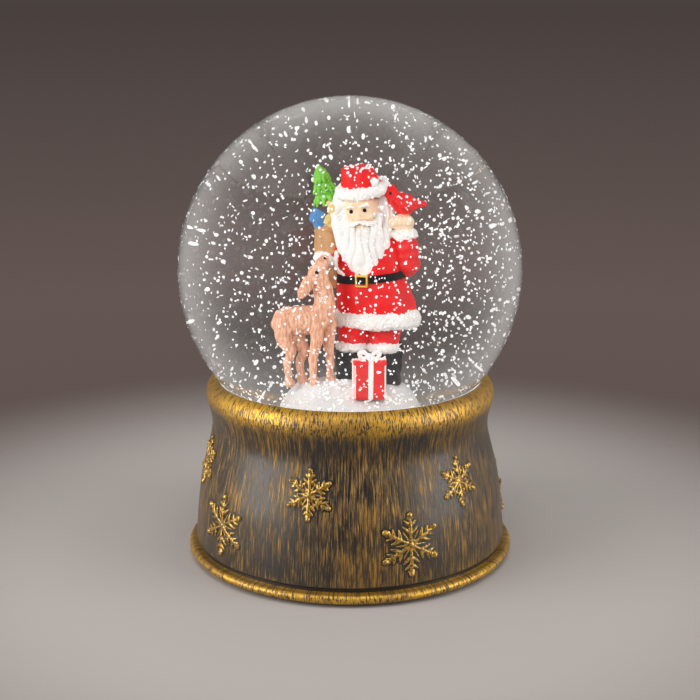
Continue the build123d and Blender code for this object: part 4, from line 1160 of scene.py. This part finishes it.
def make_floor():
    """Pale round floor, seen only from above, that fades out away from the object."""
    bm = bmesh.new()
    bmesh.ops.create_circle(bm, cap_ends=True, segments=128, radius=FLOOR_R)
    mesh = mesh_from(bm, "floor")
    s = Shader("pale_floor", FLOOR_COLOR, 0.7)
    reach = s.vector("LENGTH", s.where)
    under = s.node("ShaderNodeNewGeometry").outputs["Backfacing"]
    fade = s.math("MAXIMUM", s.ramp(reach, *FLOOR_FADE), under)
    hole = s.node("ShaderNodeBsdfTransparent")
    blend = s.node("ShaderNodeMixShader")
    s.feed(blend.inputs[0], fade)
    s.feed(blend.inputs[1], s.surface.outputs[0])
    s.feed(blend.inputs[2], hole.outputs[0])
    s.feed(s.tree.nodes["Material Output"].inputs["Surface"], blend.outputs[0])
    s.bump(s.noise(2.0, 2.0), 0.02)
    mesh.materials.append(s.material)
    floor = bpy.data.objects.new("floor", mesh)
    bpy.context.scene.collection.objects.link(floor)


def make_world():
    """Plain taupe studio: bright up behind the object, dark up on the camera's side, light at the sides."""
    world = bpy.data.worlds.new("studio")
    bpy.context.scene.world = world
    world.use_nodes = True
    n = Nodes(world.node_tree)
    apart = n.node("ShaderNodeSeparateXYZ")
    n.feed(apart.inputs[0], n.node("ShaderNodeTexCoord").outputs["Generated"])
    behind = n.ramp(apart.outputs["Y"], -0.3, 0.3, kind="LINEAR")
    rise = n.math("MULTIPLY", apart.outputs["Z"], behind)
    sky = n.node("ShaderNodeValToRGB")
    n.feed(sky.inputs[0], n.math("MULTIPLY_ADD", rise, 0.5, 0.5))
    while len(sky.color_ramp.elements) < len(SKY_STOPS):
        sky.color_ramp.elements.new(0.5)
    for element, (place, color) in zip(sky.color_ramp.elements, SKY_STOPS):
        element.position = place
        element.color = (*color, 1)
    aside = n.ramp(n.math("ABSOLUTE", apart.outputs["X"]), 0.28, 0.85)
    n.feed(n.tree.nodes["Background"].inputs["Color"], n.mix(aside, sky.outputs[0], SIDE_LIGHT))


def softbox(name, at, size, watts, color=(1, 1, 1)):
    """Rectangular soft light turned to the object."""
    light = bpy.data.lights.new(name, "AREA")
    light.shape = "RECTANGLE"
    light.size, light.size_y = size
    light.energy = watts
    light.color = color
    obj = bpy.data.objects.new(name, light)
    obj.location = at
    obj.rotation_euler = (AIM - Vector(at)).to_track_quat("-Z", "Y").to_euler()
    obj.visible_camera = False
    bpy.context.scene.collection.objects.link(obj)
    return obj


def make_lights(clear_pieces, figures):
    """Softboxes at the sides and overhead, kept off the glass and liquid, and one for what stands inside."""
    left = softbox("key_left", (-0.74, -0.33, 0.30), (0.72, 0.8), 8.6, WARM_WHITE)
    right = softbox("fill_right", (0.75, -0.28, 0.28), (0.60, 0.8), 6.0, (1.0, 0.985, 0.965))
    top = softbox("top", (0.0, -0.25, 0.85), (0.6, 0.6), 3.2)
    inside = softbox("inside_fill", (-0.08, -0.72, 0.40), (0.6, 0.5), 5.2, WARM_WHITE)
    shy = bpy.data.collections.new("all_but_glass")
    for obj in clear_pieces:
        shy.objects.link(obj)
    for row in shy.collection_objects:
        row.light_linking.link_state = "EXCLUDE"
    for light in (left, right, top):
        light.light_linking.receiver_collection = shy
        light.visible_transmission = False
    within = bpy.data.collections.new("inside_the_globe")
    for obj in figures:
        within.objects.link(obj)
    inside.light_linking.receiver_collection = within
    inside.visible_transmission = False


def make_camera():
    """Long lens looking slightly down, from the front."""
    camera = bpy.data.cameras.new("camera")
    camera.sensor_width = 36.0
    camera.lens = LENS
    obj = bpy.data.objects.new("camera", camera)
    radius = GLOBE_R * MM
    obj.location = (0, -CAMERA_BACK * radius, GLOBE_Z * MM + CAMERA_UP * radius)
    obj.rotation_euler = (radians(90) - CAMERA_DIP, 0, 0)
    bpy.context.scene.collection.objects.link(obj)
    bpy.context.scene.camera = obj


# ------------------------------------------------------------------ making

make_camera()
make_world()
make_floor()
bpy.context.scene.view_settings.view_transform = "Standard"
dress_cad_nodes()
makers = (make_coat, make_raised_arm, make_fur_trims, make_trousers, make_boots, make_belt, make_buckle,
          make_head, make_eyes, make_beard, make_moustache, make_hat, make_brim, make_hand, make_sack,
          make_tree, make_bear, make_parcel, make_bird, make_deer, make_small_eyes, make_gift, make_ribbon,
          make_mound)
solids = [make() for make in makers]
solids.append(make_flakes(solids))
make_reliefs()
make_lights([make_globe(), make_liquid()], solids)
